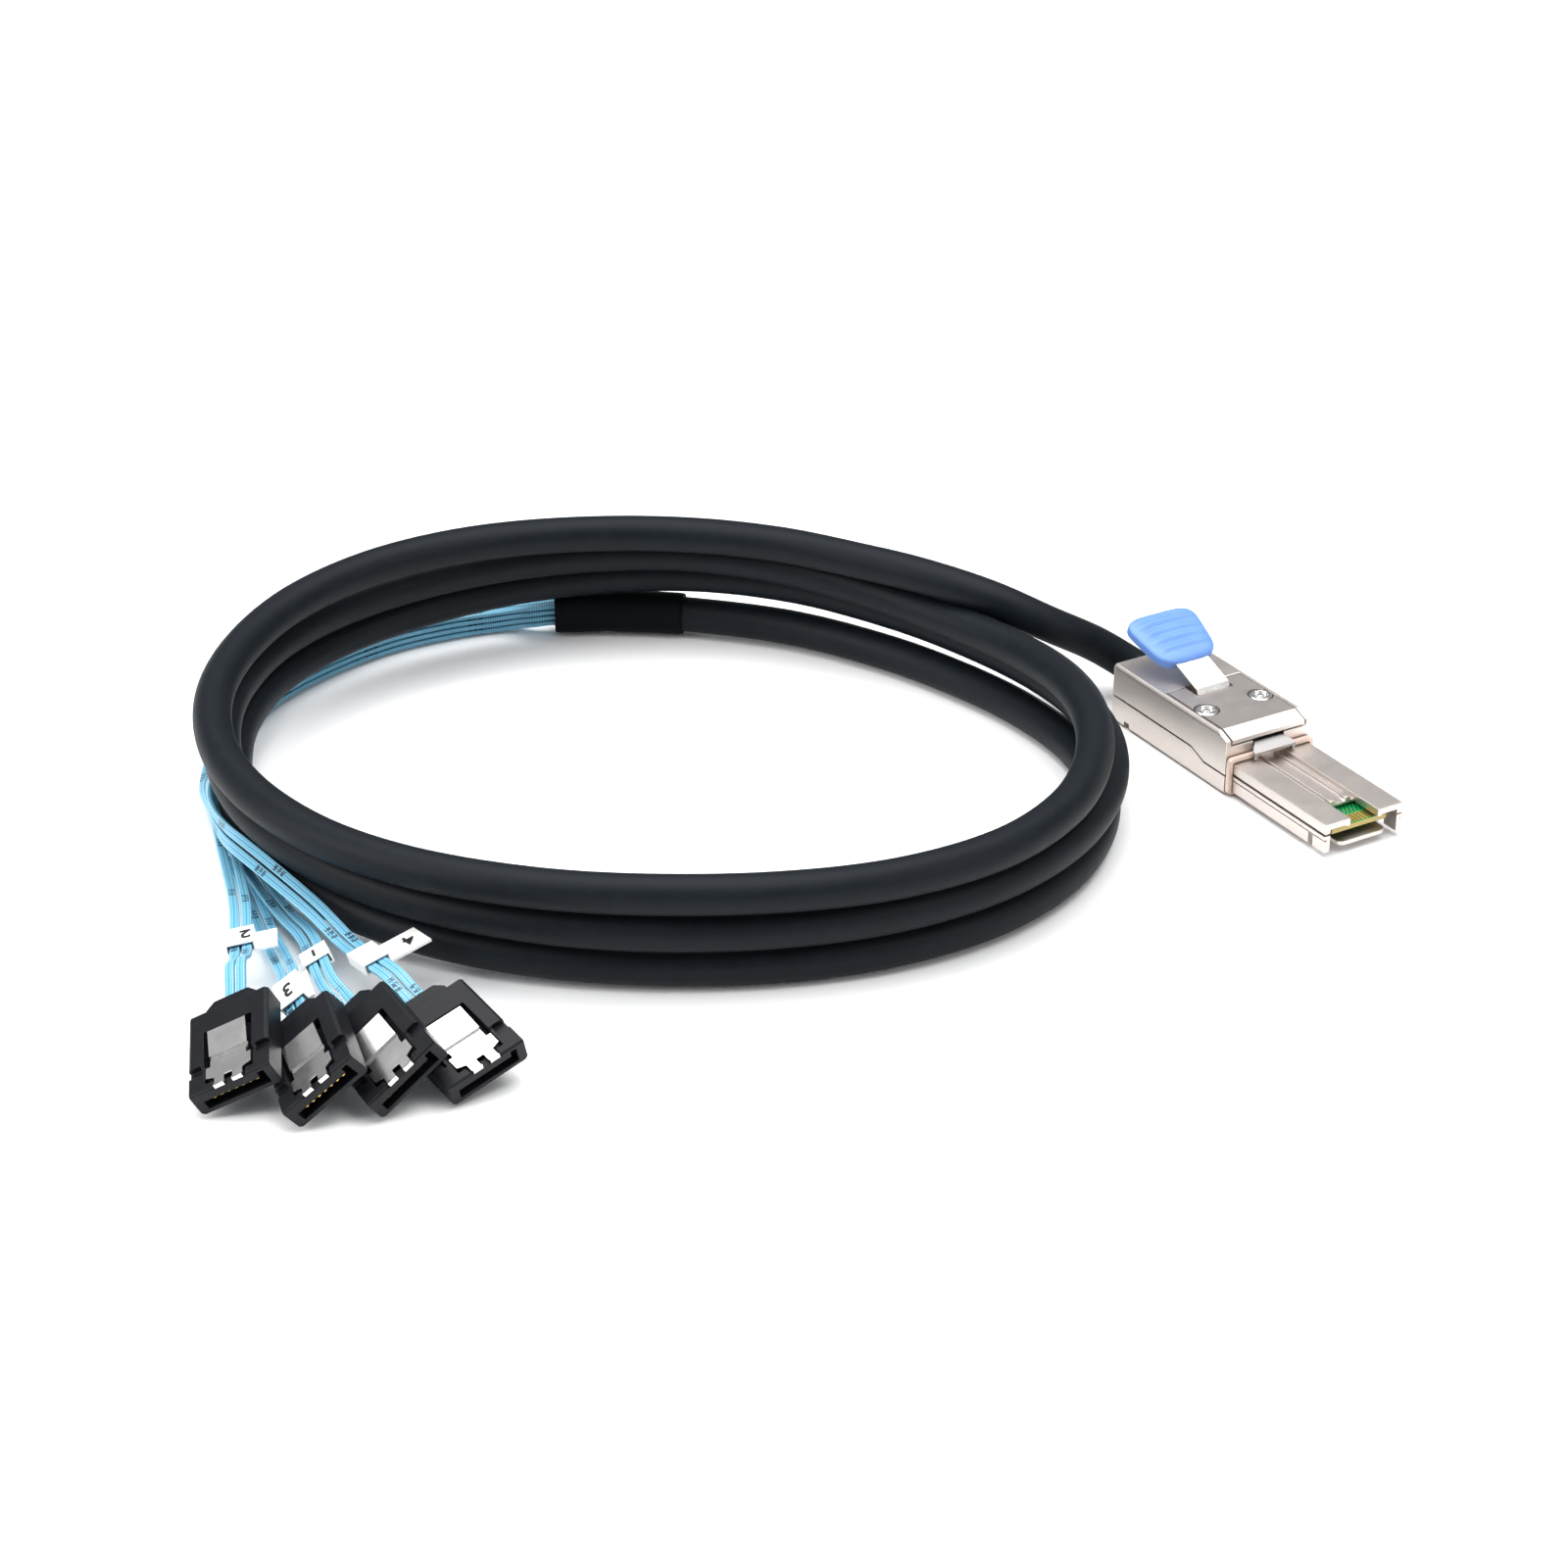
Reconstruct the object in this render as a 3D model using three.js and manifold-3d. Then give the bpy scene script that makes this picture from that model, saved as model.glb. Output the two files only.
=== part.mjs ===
// Breakout cable: one shielded plug, a coiled round cable, a sleeve where it splits
// into eight flat ribbons, and four latching connectors in pairs of ribbons.
// Millimetres, +Z up, lying as it rests on a table.

import * as THREE from 'three';
import { mergeVertices } from 'three/addons/utils/BufferGeometryUtils.js';
import Module from 'manifold-3d';

const wasm = await Module();
wasm.setup();

// Driving dimensions

const clearance = 0.3;          // gap between pieces that meet
const cutMargin = 1;            // how far a hollow runs past the surface it opens

// Plug, in its own frame: x towards the nose, y across, z up from the table
const plug = {
  x: 88.9,
  y: 0.7,
  yaw: 30.6,                    // degrees, nose turned from the viewer to the right
  length: 35.4,
  width: 19.3,
  height: 11.85,
  wall: 1.2,
  roof: 3.85,                   // metal over the card space, before its pockets
  rearRoof: 1.15,               // metal over the crimped end of the cable
  rearSpaceLength: 9.6,
  corner: 0.5,                  // chamfer along the long edges
  bevelRun: 3.05,               // sloping front edge of the top
  bevelDrop: 1.1,
  seamRear: 5.2,                // height of the parting line behind its step
  seamFront: 3.7,
  seamStepRear: 10.5,           // distance of the step from the front face
  seamStepFront: 6.5,
  notchFrom: 31.4,              // small notch in the foot of the rear
  notchLength: 1.6,
  notchHeight: 1.3,
};
const nose = {
  length: 28.2,
  width: 17.4,
  top: 6.5,
  bottom: 0.9,
  wing: 1.2,                    // thickness of the top wings
  wallThickness: 1.2,
  floorThickness: 1.1,
  ledge: 4.2,                   // top of the lower half
  ledgeOut: 0.2,
  grooveTop: 3.5,
  grooveHeight: 0.35,
  grooveDepth: 0.5,
  footGapFrom: 23.5,
  footGap: 1.3,
  channelWidth: 6.2,
  channelFloor: 5.6,
  channelThickness: 0.6,
  channelLength: 21.3,
  ridgeWidth: 0.4,
  ridgeHeight: 0.5,
  ridgeOffset: 1.75,
  padLength: 1.5,
  padWidth: 1.1,
  padHeight: 0.75,
  tongueWidth: 10.6,
  tongueThickness: 0.8,
  tongueHeight: 1.3,            // height of its underside
  tongueRadius: 1.3,
  floorLength: 24.4,
};
const cover = {
  length: 20.1,
  width: 16.5,
  thickness: 0.8,
  notchWidth: 8.4,
  notchDepth: 3.7,
  bossX: 10.8,
  bossY: 6.2,
  bossRadius: 2.2,
};
const lever = {
  width: 6.4,
  thickness: 0.45,
  height: 8.7,                  // underside inside the plug
  rearLength: 13.4,
  reach: 2.2,                   // how far it stands out over the nose
  dip: 1.1,                     // how far the outer end hangs below the inner part
  flare: 9.2,                   // width of the outer end
  hookDrop: 0.9,
  hookWidth: 0.65,
};
const strap = {
  width: 7.4,
  thickness: 0.4,
  innerX: 11.5,
  riserX: 16.9,
  innerHeight: 10.35,
  topX: 17.6,
  topHeight: 12.3,
  tabX: 23.9,
  tabHeight: 14.6,
  embed: 6,
  travel: 2.5,
};
const tab = {
  length: 13.4,
  rearWidth: 16.4,
  frontWidth: 12.6,
  thickness: 2.8,
  radius: 2.2,
  ribs: 4,
  ribHeight: 0.35,
  ribMargin: 2.2,
};
const gasket = {
  thickness: 0.95,
  band: 0.75,
  top: 7.6,
  bottom: 0.3,
  footBand: 0.3,
  radius: 1,
  innerRadius: 0.4,
};
const card = {
  width: 12.3,
  thickness: 1.05,
  height: 3.4,                  // height of its underside
  rearX: 14,
  frontSetback: 1.3,
};
const wireBlock = { length: 9, width: 13.4, bottom: 2.2, top: 7.4 };
const crimp = { length: 6.5, thickness: 0.6, fromRear: 3 };

// Round cable
const cable = { diameter: 7, sides: 10, exitHeight: 6, insert: 7.5 };

// Heat-shrunk sleeve over the split
const sleeve = {
  thickness: 0.55,
  fromAngle: 1170,
  toAngle: 1185.5,
  wallAngle: 1.4,               // solid part between the cable's end and the ribbons
  ribbonAngle: 1180.4,          // where the ribbons begin inside
};

// Flat ribbon, two to each connector
const ribbon = { width: 1.7, thickness: 0.9, gap: 0.35 };

// Small latching connector, in its own frame: x towards its mating face, y across
const end = {
  width: 14.4,
  length: 17.6,
  front: 4.4,
  back: 4.9,
  corner: 0.5,
  shoulder: 5.7,                // from the mating face to the end of the deck
  notchFront: 4.0,
  notchInner: 4.9,
  pocketRear: 13.0,
  pocketHalf: 4.3,
  pocketFloor: 3.0,
  shelfHalf: 2.9,
  shelfLength: 1.6,
  shelfFloor: 3.9,
  slotHalf: 5.6,
  slotBottom: 0.8,
  slotTop: 2.5,
  slotDepth: 8,
  keyWidth: 1.1,
  keyTop: 3.6,
};
const clampPiece = {
  rearX: 20.5,
  innerX: 15.2,
  halfWidth: 4.6,
  neckHalfWidth: 3.9,
  bottom: 0.7,
  top: 3.9,
  corner: 1.4,
};
const contacts = {
  count: 7,
  pitch: 1.27,
  fingerWidth: 0.5,
  thickness: 0.25,
  height: 2.0,
  tipSetback: 0.5,
  barLength: 1.0,
};
const latch = {
  thickness: 0.35,
  rearX: 12.3,
  tabHalf: 3.4,
  grooveRear: 7.0,
  grooveFront: 6.1,
  grooveDrop: 0.35,
  plateHalf: 3.2,
  earHalf: 4.0,
  earRear: 4.7,
  earFront: 2.4,
  prongOuter: 2.5,
  prongInner: 0.75,
  notchX: 1.9,
  tipX: -0.25,
  hookLength: 0.45,
  height: 4.25,                 // underside of the front plate
  tabLift: 0.7,
};
const paper = { thickness: 0.25, length: 6.6, flagThickness: 0.5 };

// Where the whole thing stands: the point on the table under its middle
const standPoint = [2.03, -23.3, 0];

// Materials

function finish(color, roughness, metalness) {
  return () => new THREE.MeshStandardMaterial({ color, roughness, metalness });
}
const nickel = finish(0xc9c3bf, 0.35, 1);
const brightSteel = finish(0xdedcda, 0.22, 1);
const darkSteel = finish(0x8d8c90, 0.35, 1);
const copperGasket = finish(0xe2c2ad, 0.5, 0.4);
const bluePlastic = finish(0x8fbff5, 0.5, 0);
const blackPlastic = finish(0x2b2d33, 0.55, 0);
const jacketBlack = finish(0x20252b, 0.5, 0);
const sleeveBlack = finish(0x121519, 0.6, 0);
const ribbonBlue = finish(0x7cc4e6, 0.45, 0);
const boardGreen = finish(0x0c7a3c, 0.4, 0);
const gold = finish(0xc9a24a, 0.3, 1);
const whitePaper = finish(0xf2f1ee, 0.8, 0);

// Solids from three.js geometry, joined and cut

function solid(geometry) {
  const bare = geometry.index ? geometry.toNonIndexed() : geometry.clone();
  bare.deleteAttribute('normal');
  bare.deleteAttribute('uv');
  const merged = mergeVertices(bare, 1e-4);
  return new wasm.Manifold(new wasm.Mesh({
    numProp: 3,
    vertProperties: new Float32Array(merged.attributes.position.array),
    triVerts: new Uint32Array(merged.index.array),
  }));
}

function geometryOf(body) {
  const mesh = body.getMesh();
  const geometry = new THREE.BufferGeometry();
  geometry.setAttribute('position', new THREE.BufferAttribute(mesh.vertProperties, 3));
  geometry.setIndex(new THREE.BufferAttribute(mesh.triVerts, 1));
  return geometry;
}

function block(x0, x1, y0, y1, z0, z1) {
  const geometry = new THREE.BoxGeometry(x1 - x0, y1 - y0, z1 - z0);
  geometry.translate((x0 + x1) / 2, (y0 + y1) / 2, (z0 + z1) / 2);
  return solid(geometry);
}

function outline(points) {
  const shape = new THREE.Shape();
  points.forEach(([u, v], i) => (i ? shape.lineTo(u, v) : shape.moveTo(u, v)));
  shape.closePath();
  return shape;
}

const plain = { bevelEnabled: false, curveSegments: 5 };

// Outline in x and y, raised from z0 to z1
function plate(shape, z0, z1) {
  const geometry = new THREE.ExtrudeGeometry(shape, { ...plain, depth: z1 - z0 });
  geometry.translate(0, 0, z0);
  return solid(geometry);
}

// Side view in x and z, carried across y between -half and half
function sideCut(points, half) {
  const geometry = new THREE.ExtrudeGeometry(outline(points), { ...plain, depth: 2 * half });
  geometry.translate(0, 0, -half);
  geometry.rotateX(Math.PI / 2);
  return solid(geometry);
}

// End view in y and z, carried along x from x0 to x1
function endCut(points, x0, x1) {
  const geometry = new THREE.ExtrudeGeometry(outline(points), { ...plain, depth: x1 - x0 });
  geometry.applyMatrix4(new THREE.Matrix4().makeBasis(
    new THREE.Vector3(0, 1, 0),
    new THREE.Vector3(0, 0, 1),
    new THREE.Vector3(1, 0, 0),
  ));
  geometry.translate(x0, 0, 0);
  return solid(geometry);
}

function rodAlongX(radius, x0, x1, z, sides) {
  const geometry = new THREE.CylinderGeometry(radius, radius, x1 - x0, sides);
  geometry.rotateZ(Math.PI / 2);
  geometry.translate((x0 + x1) / 2, 0, z);
  return solid(geometry);
}

function chamferedSection(half, z0, z1, cut) {
  return [
    [-half + cut, z0], [half - cut, z0], [half, z0 + cut], [half, z1 - cut],
    [half - cut, z1], [-half + cut, z1], [-half, z1 - cut], [-half, z0 + cut],
  ];
}

function roundedRectangle(half, z0, z1, radius) {
  const shape = new THREE.Shape();
  shape.moveTo(-half + radius, z0);
  shape.lineTo(half - radius, z0);
  shape.absarc(half - radius, z0 + radius, radius, -Math.PI / 2, 0, false);
  shape.lineTo(half, z1 - radius);
  shape.absarc(half - radius, z1 - radius, radius, 0, Math.PI / 2, false);
  shape.lineTo(-half + radius, z1);
  shape.absarc(-half + radius, z1 - radius, radius, Math.PI / 2, Math.PI, false);
  shape.lineTo(-half, z0 + radius);
  shape.absarc(-half + radius, z0 + radius, radius, Math.PI, 1.5 * Math.PI, false);
  return shape;
}

function addPiece(group, name, body, material) {
  const mesh = new THREE.Mesh(geometryOf(body), material());
  mesh.name = name;
  group.add(mesh);
}

// A path with a chosen upper side, so that a flat section does not roll

class LaidCurve extends THREE.CatmullRomCurve3 {
  constructor(points, uppers) {
    super(points, false, 'catmullrom', 0.5);
    this.uppers = uppers;
  }

  upperAt(t) {
    const place = t * (this.uppers.length - 1);
    const i = Math.min(Math.floor(place), this.uppers.length - 2);
    return this.uppers[i].clone().lerp(this.uppers[i + 1], place - i);
  }

  getSpacedPoints(divisions) {
    return this.getPoints(divisions);
  }

  computeFrenetFrames(segments) {
    const frames = { tangents: [], normals: [], binormals: [] };
    for (let i = 0; i <= segments; i += 1) {
      const t = i / segments;
      const tangent = this.getTangent(t);
      const side = new THREE.Vector3().crossVectors(this.upperAt(t), tangent).normalize();
      const upper = new THREE.Vector3().crossVectors(tangent, side).normalize();
      frames.tangents.push(tangent);
      frames.normals.push(side);
      frames.binormals.push(upper);
    }
    return frames;
  }
}

function sweep(shape, curve, steps) {
  return solid(new THREE.ExtrudeGeometry(shape, {
    steps,
    bevelEnabled: false,
    extrudePath: curve,
    curveSegments: 1,
  }));
}

function roundSection(radius, sides) {
  const points = [];
  for (let i = 0; i < sides; i += 1) {
    const angle = (2 * Math.PI * i) / sides - Math.PI / 2;
    points.push([radius * Math.cos(angle), radius * Math.sin(angle)]);
  }
  return outline(points);
}

function ribbonSection(width, thickness) {
  const cut = thickness / 4;
  return outline(chamferedSection(width / 2, -thickness / 2, thickness / 2, cut));
}

// The coil: an oval whose turns are stretched and stacked a little differently.
// Each turn starts at the right and goes round by the back, left and front.

const coil = {
  centreX: -21,
  centreY: -9,
  halfWidth: 80,
  halfDepth: 66,
  knotAngle: 45,
  firstAngle: 45,
  leadAngle: 60,
  stationAngle: 15,
  lastAngle: 1178,
};

// Stretch of the oval and height of the cable's middle, every 45 degrees
const coilKnots = [
  [0.941, 22.9], [0.977, 25.6], [1.011, 26.5],
  [1.012, 22.95], [1.014, 20.2], [1.008, 19.7], [1.029, 18.3],
  [0.952, 18.5], [0.958, 15.8], [1.045, 19.5], [1.082, 17.6],
  [1.004, 15.75], [0.978, 12.8], [0.984, 11.9], [1.008, 10.9],
  [0.997, 11.0], [1.022, 10.3], [1.115, 13.0], [1.115, 9.9],
  [0.985, 8.6], [0.966, 5.5], [0.946, 3.9], [0.994, 3.6],
  [0.98, 3.6], [0.971, 3.55], [1.112, 4.4], [1.268, 4.4],
];

function between(knots, place) {
  const i = Math.max(0, Math.min(Math.floor(place), knots.length - 2));
  const f = place - i;
  const at = (k) => {
    if (k < 0) return 2 * knots[0] - knots[1];
    if (k >= knots.length) return 2 * knots[k - 1] - knots[k - 2];
    return knots[k];
  };
  const [a, b, c, d] = [at(i - 1), at(i), at(i + 1), at(i + 2)];
  return 0.5 * (2 * b + (c - a) * f + (2 * a - 5 * b + 4 * c - d) * f * f
    + (3 * b - a - 3 * c + d) * f * f * f);
}

function coilPoint(angle) {
  const place = (angle - coil.firstAngle) / coil.knotAngle;
  const stretch = between(coilKnots.map((knot) => knot[0]), place);
  const height = between(coilKnots.map((knot) => knot[1]), place);
  const turned = THREE.MathUtils.degToRad(angle);
  return new THREE.Vector3(
    coil.centreX + coil.halfWidth * stretch * Math.cos(turned),
    coil.centreY + coil.halfDepth * stretch * Math.sin(turned),
    height,
  );
}

// Plug pieces

const rear = -plug.length;
const half = plug.width / 2;
const innerHalf = half - plug.wall;
const roofHeight = plug.height - plug.roof;
const rearRoofHeight = plug.height - plug.rearRoof;
const recessHalf = cover.width / 2 + clearance;
const recessFloor = plug.height - cover.thickness - clearance;
const boreRadius = cable.diameter / 2 + clearance;
const crimpHalf = boreRadius + crimp.thickness + clearance;
const noseHalf = nose.width / 2;
const noseInner = noseHalf - nose.wallThickness;
const wingBottom = nose.top - nose.wing;

function seamLine(lift, far) {
  return [
    [rear - far, plug.seamRear + lift],
    [-plug.seamStepRear, plug.seamRear + lift],
    [-plug.seamStepFront, plug.seamFront + lift],
    [far, plug.seamFront + lift],
  ];
}

function plugBlock() {
  const body = endCut(chamferedSection(half, 0, plug.height, plug.corner), rear, 0);
  const nosed = sideCut([
    [rear - cutMargin, -cutMargin],
    [0, -cutMargin],
    [0, plug.height - plug.bevelDrop],
    [-plug.bevelRun, plug.height],
    [-plug.bevelRun, plug.height + cutMargin],
    [rear - cutMargin, plug.height + cutMargin],
  ], half + cutMargin);
  return body.intersect(nosed);
}

function cableSpace() {
  const hollow = block(rear + plug.wall, -plug.wall, -innerHalf, innerHalf, plug.wall, roofHeight);
  const rearHollow = block(rear + plug.wall, rear + plug.wall + plug.rearSpaceLength,
    -crimpHalf, crimpHalf, plug.wall, rearRoofHeight);
  const bore = rodAlongX(boreRadius, rear - cutMargin, rear + plug.wall + cutMargin,
    cable.exitHeight, 20);
  return hollow.add(rearHollow).add(bore);
}

function lowerShell() {
  const far = cutMargin;
  const under = sideCut([
    [rear - far, -far], ...seamLine(0, far).slice(0, 3),
    [far, plug.seamFront], [far, -far],
  ], half + far);
  const cardPassage = block(-plug.wall - far, far, -noseInner, noseInner,
    nose.bottom + nose.floorThickness, plug.height);
  const notch = block(-plug.notchFrom, -plug.notchFrom + plug.notchLength,
    -half - far, half + far, -far, plug.notchHeight);
  const shell = plugBlock().intersect(under).subtract(cableSpace()).subtract(cardPassage)
    .subtract(notch);

  const out = noseHalf + nose.ledgeOut;
  const cut = noseHalf - nose.grooveDepth;
  const grooveBottom = nose.grooveTop - nose.grooveHeight;
  const floorTop = nose.bottom + nose.floorThickness;
  const rightSide = [
    [noseHalf, nose.bottom], [noseHalf, grooveBottom], [cut, grooveBottom],
    [cut, nose.grooveTop], [out, nose.grooveTop], [out, nose.ledge],
    [noseInner, nose.ledge], [noseInner, floorTop],
  ];
  const leftSide = rightSide.map(([y, z]) => [-y, z]).reverse();
  const seamTrim = block(-far, clearance, -half, half, plug.seamFront, nose.ledge + far);
  const behindGasket = gasket.thickness + 2 * clearance;
  let trough = endCut([...rightSide, ...leftSide], -far / 2, nose.length).subtract(seamTrim);
  for (const side of [-1, 1]) {
    const y = side * (noseHalf + half) / 2;
    trough = trough.subtract(block(-far, behindGasket, y - (half - noseHalf) / 2,
      y + (half - noseHalf) / 2, 0, nose.ledge + far));
  }
  const footGap = block(nose.footGapFrom, nose.footGapFrom + nose.footGap, -half, half,
    0, grooveBottom);
  const floorEnd = block(nose.floorLength, nose.length + far, -noseInner, noseInner,
    0, nose.ledge + far);
  const tongueHalf = nose.tongueWidth / 2;
  const tongueShape = new THREE.Shape();
  tongueShape.moveTo(nose.footGapFrom - 2, -tongueHalf);
  tongueShape.lineTo(nose.length - nose.tongueRadius, -tongueHalf);
  tongueShape.absarc(nose.length - nose.tongueRadius, -tongueHalf + nose.tongueRadius,
    nose.tongueRadius, -Math.PI / 2, 0, false);
  tongueShape.lineTo(nose.length, tongueHalf - nose.tongueRadius);
  tongueShape.absarc(nose.length - nose.tongueRadius, tongueHalf - nose.tongueRadius,
    nose.tongueRadius, 0, Math.PI / 2, false);
  tongueShape.lineTo(nose.footGapFrom - 2, tongueHalf);
  const tongue = plate(tongueShape, nose.tongueHeight, nose.tongueHeight + nose.tongueThickness);
  return shell.add(trough.subtract(footGap).subtract(floorEnd)).add(tongue);
}

function upperShell() {
  const far = cutMargin;
  const over = sideCut([
    ...seamLine(clearance, far), [far, plug.height + far], [rear - far, plug.height + far],
  ], half + far);
  const recess = sideCut([
    [-cover.length - clearance, recessFloor],
    [-plug.bevelRun - clearance, recessFloor],
    [far, recessFloor - (plug.bevelDrop * (plug.bevelRun + clearance + far)) / plug.bevelRun],
    [far, plug.height + far],
    [-cover.length - clearance, plug.height + far],
  ], recessHalf);
  const leverHalf = lever.width / 2 + clearance;
  const leverRoom = block(-lever.rearLength - clearance, far, -leverHalf, leverHalf,
    lever.height - clearance, plug.height + far);
  const strapHalf = strap.width / 2 + clearance;
  const strapRoom = block(-strap.topX - strap.travel - 2 * clearance, -strap.innerX + clearance,
    -strapHalf, strapHalf, strap.innerHeight - clearance, plug.height + far);
  const cardPassage = block(-plug.wall - far, far, -noseInner, noseInner, 0,
    nose.channelFloor - nose.channelThickness);
  const shell = plugBlock().intersect(over).subtract(cableSpace()).subtract(recess)
    .subtract(leverRoom).subtract(strapRoom).subtract(cardPassage);

  const skirtBottom = nose.ledge + clearance;
  const floorBottom = nose.channelFloor - nose.channelThickness;
  const channelHalf = nose.channelWidth / 2;
  const top = endCut([
    [-noseHalf, skirtBottom], [-noseInner, skirtBottom], [-noseInner, wingBottom],
    [-channelHalf - nose.wing, wingBottom], [-channelHalf - nose.wing / 2, floorBottom],
    [channelHalf + nose.wing / 2, floorBottom], [channelHalf + nose.wing, wingBottom],
    [noseInner, wingBottom], [noseInner, skirtBottom], [noseHalf, skirtBottom],
    [noseHalf, nose.top], [channelHalf, nose.top], [channelHalf, nose.channelFloor],
    [-channelHalf, nose.channelFloor], [-channelHalf, nose.top], [-noseHalf, nose.top],
  ], -far / 2, nose.length);
  const window = block(nose.channelLength, nose.length + far, -channelHalf, channelHalf,
    0, nose.top + far);
  let roof = top.subtract(window);
  for (const side of [-1, 1]) {
    const y = side * nose.ridgeOffset;
    roof = roof.add(block(-far / 2, nose.channelLength - nose.padLength, y - nose.ridgeWidth / 2,
      y + nose.ridgeWidth / 2, nose.channelFloor - clearance, nose.channelFloor + nose.ridgeHeight));
    roof = roof.add(block(nose.channelLength - nose.padLength - clearance, nose.channelLength,
      y - nose.padWidth / 2, y + nose.padWidth / 2, nose.channelFloor - clearance,
      nose.channelFloor + nose.padHeight));
  }
  return shell.add(roof);
}

function coverPlate() {
  const under = plug.height - cover.thickness;
  const slope = plug.bevelDrop / plug.bevelRun;
  const profile = sideCut([
    [-cover.length, under],
    [-plug.bevelRun, under],
    [0, under - slope * plug.bevelRun],
    [0, plug.height - plug.bevelDrop],
    [-plug.bevelRun, plug.height],
    [-cover.length, plug.height],
  ], cover.width / 2);
  const notchHalf = cover.notchWidth / 2;
  let body = profile.subtract(block(-cover.length - cutMargin, -cover.length + cover.notchDepth,
    -notchHalf, notchHalf, under - cutMargin, plug.height + cutMargin));
  for (const side of [-1, 1]) {
    const hole = new THREE.CylinderGeometry(cover.bossRadius + clearance,
      cover.bossRadius + clearance, cover.thickness + 2 * cutMargin, 20);
    hole.rotateX(Math.PI / 2);
    hole.translate(-cover.bossX, side * cover.bossY, plug.height - cover.thickness / 2);
    body = body.subtract(solid(hole));
  }
  return body;
}

function coverBoss(side) {
  const foot = recessFloor + clearance;
  const r = cover.bossRadius;
  const profile = [
    [0, foot], [r, foot], [r, plug.height - 0.1], [r - 0.25, plug.height + 0.05],
    [r - 0.65, plug.height + 0.05], [r - 0.8, plug.height - 0.35], [0.85, plug.height - 0.35],
    [0.6, plug.height + 0.1], [0, plug.height + 0.1],
  ].map(([x, y]) => new THREE.Vector2(x, y));
  const geometry = new THREE.LatheGeometry(profile, 20);
  geometry.rotateX(Math.PI / 2);
  geometry.translate(-cover.bossX, side * cover.bossY, 0);
  return solid(geometry);
}

function latchLever() {
  const under = lever.height;
  const t = lever.thickness;
  const profile = sideCut([
    [-lever.rearLength, under], [-0.4, under], [lever.reach, under - lever.dip],
    [lever.reach, under - lever.dip + t], [-0.2, under + t], [-lever.rearLength, under + t],
  ], lever.flare);
  const flareHalf = lever.flare / 2;
  const innerHalfWidth = lever.width / 2;
  const shape = outline([
    [-lever.rearLength, -innerHalfWidth], [0, -innerHalfWidth], [lever.reach * 0.7, -flareHalf],
    [lever.reach, -flareHalf], [lever.reach, flareHalf], [lever.reach * 0.7, flareHalf],
    [0, innerHalfWidth], [-lever.rearLength, innerHalfWidth],
  ]);
  let body = profile.intersect(plate(shape, 0, plug.height));
  for (const side of [-1, 1]) {
    const y = side * (flareHalf - lever.hookWidth / 2);
    body = body.add(block(lever.reach - lever.hookWidth, lever.reach, y - lever.hookWidth / 2,
      y + lever.hookWidth / 2, under - lever.dip - lever.hookDrop, under - lever.dip + t / 2));
  }
  return body;
}

const strapSlope = Math.atan2(strap.tabHeight - strap.topHeight, strap.tabX - strap.topX);

function strapLine(offset) {
  const inTab = strap.embed;
  return [
    [-strap.innerX, strap.innerHeight + offset],
    [-strap.riserX + offset, strap.innerHeight + offset],
    [-strap.topX + offset * 0.6, strap.topHeight + offset],
    [-strap.tabX - inTab * Math.cos(strapSlope),
      strap.tabHeight + inTab * Math.sin(strapSlope) + offset],
  ];
}

function releaseStrap() {
  const lower = strapLine(0);
  const upper = strapLine(strap.thickness).reverse();
  return sideCut([...lower, ...upper], strap.width / 2);
}

function pullTab() {
  const l = tab.length;
  const t = tab.thickness;
  const top = [];
  const first = tab.ribMargin;
  const last = l - tab.ribMargin;
  const samples = tab.ribs * 4;
  for (let i = 0; i <= samples; i += 1) {
    const s = first + ((last - first) * i) / samples;
    const wave = Math.sin((Math.PI * tab.ribs * (s - first)) / (last - first)) ** 2;
    top.push([-s, t / 2 + tab.ribHeight * wave]);
  }
  const side = sideCut([
    [0, -t / 2 + 0.5], [0, t / 2 - 0.5], [-0.5, t / 2], ...top, [-l + 0.8, t / 2],
    [-l, t / 2 - 0.7], [-l, -t / 2 + 0.7], [-l + 0.8, -t / 2], [-0.5, -t / 2],
  ], tab.rearWidth / 2 + cutMargin);
  const f = tab.frontWidth / 2;
  const b = tab.rearWidth / 2;
  const r = tab.radius;
  const shape = new THREE.Shape();
  shape.moveTo(0, -f + r * 0.5);
  shape.lineTo(0, f - r * 0.5);
  shape.lineTo(-r * 0.5, f);
  shape.lineTo(-l + r * 1.6, b);
  shape.quadraticCurveTo(-l, b, -l, b - r * 1.6);
  shape.lineTo(-l, -b + r * 1.6);
  shape.quadraticCurveTo(-l, -b, -l + r * 1.6, -b);
  shape.lineTo(-r * 0.5, -f);
  shape.closePath();
  const reach = strap.embed + clearance;
  const slot = block(-reach, cutMargin, -strap.width / 2 - clearance, strap.width / 2 + clearance,
    -clearance, strap.thickness + clearance);
  const body = side.intersect(plate(shape, -t, t)).subtract(slot);
  const rise = THREE.MathUtils.radToDeg(strapSlope);
  return body.rotate([0, rise, 0]).translate([-strap.tabX, 0, strap.tabHeight]);
}

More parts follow.
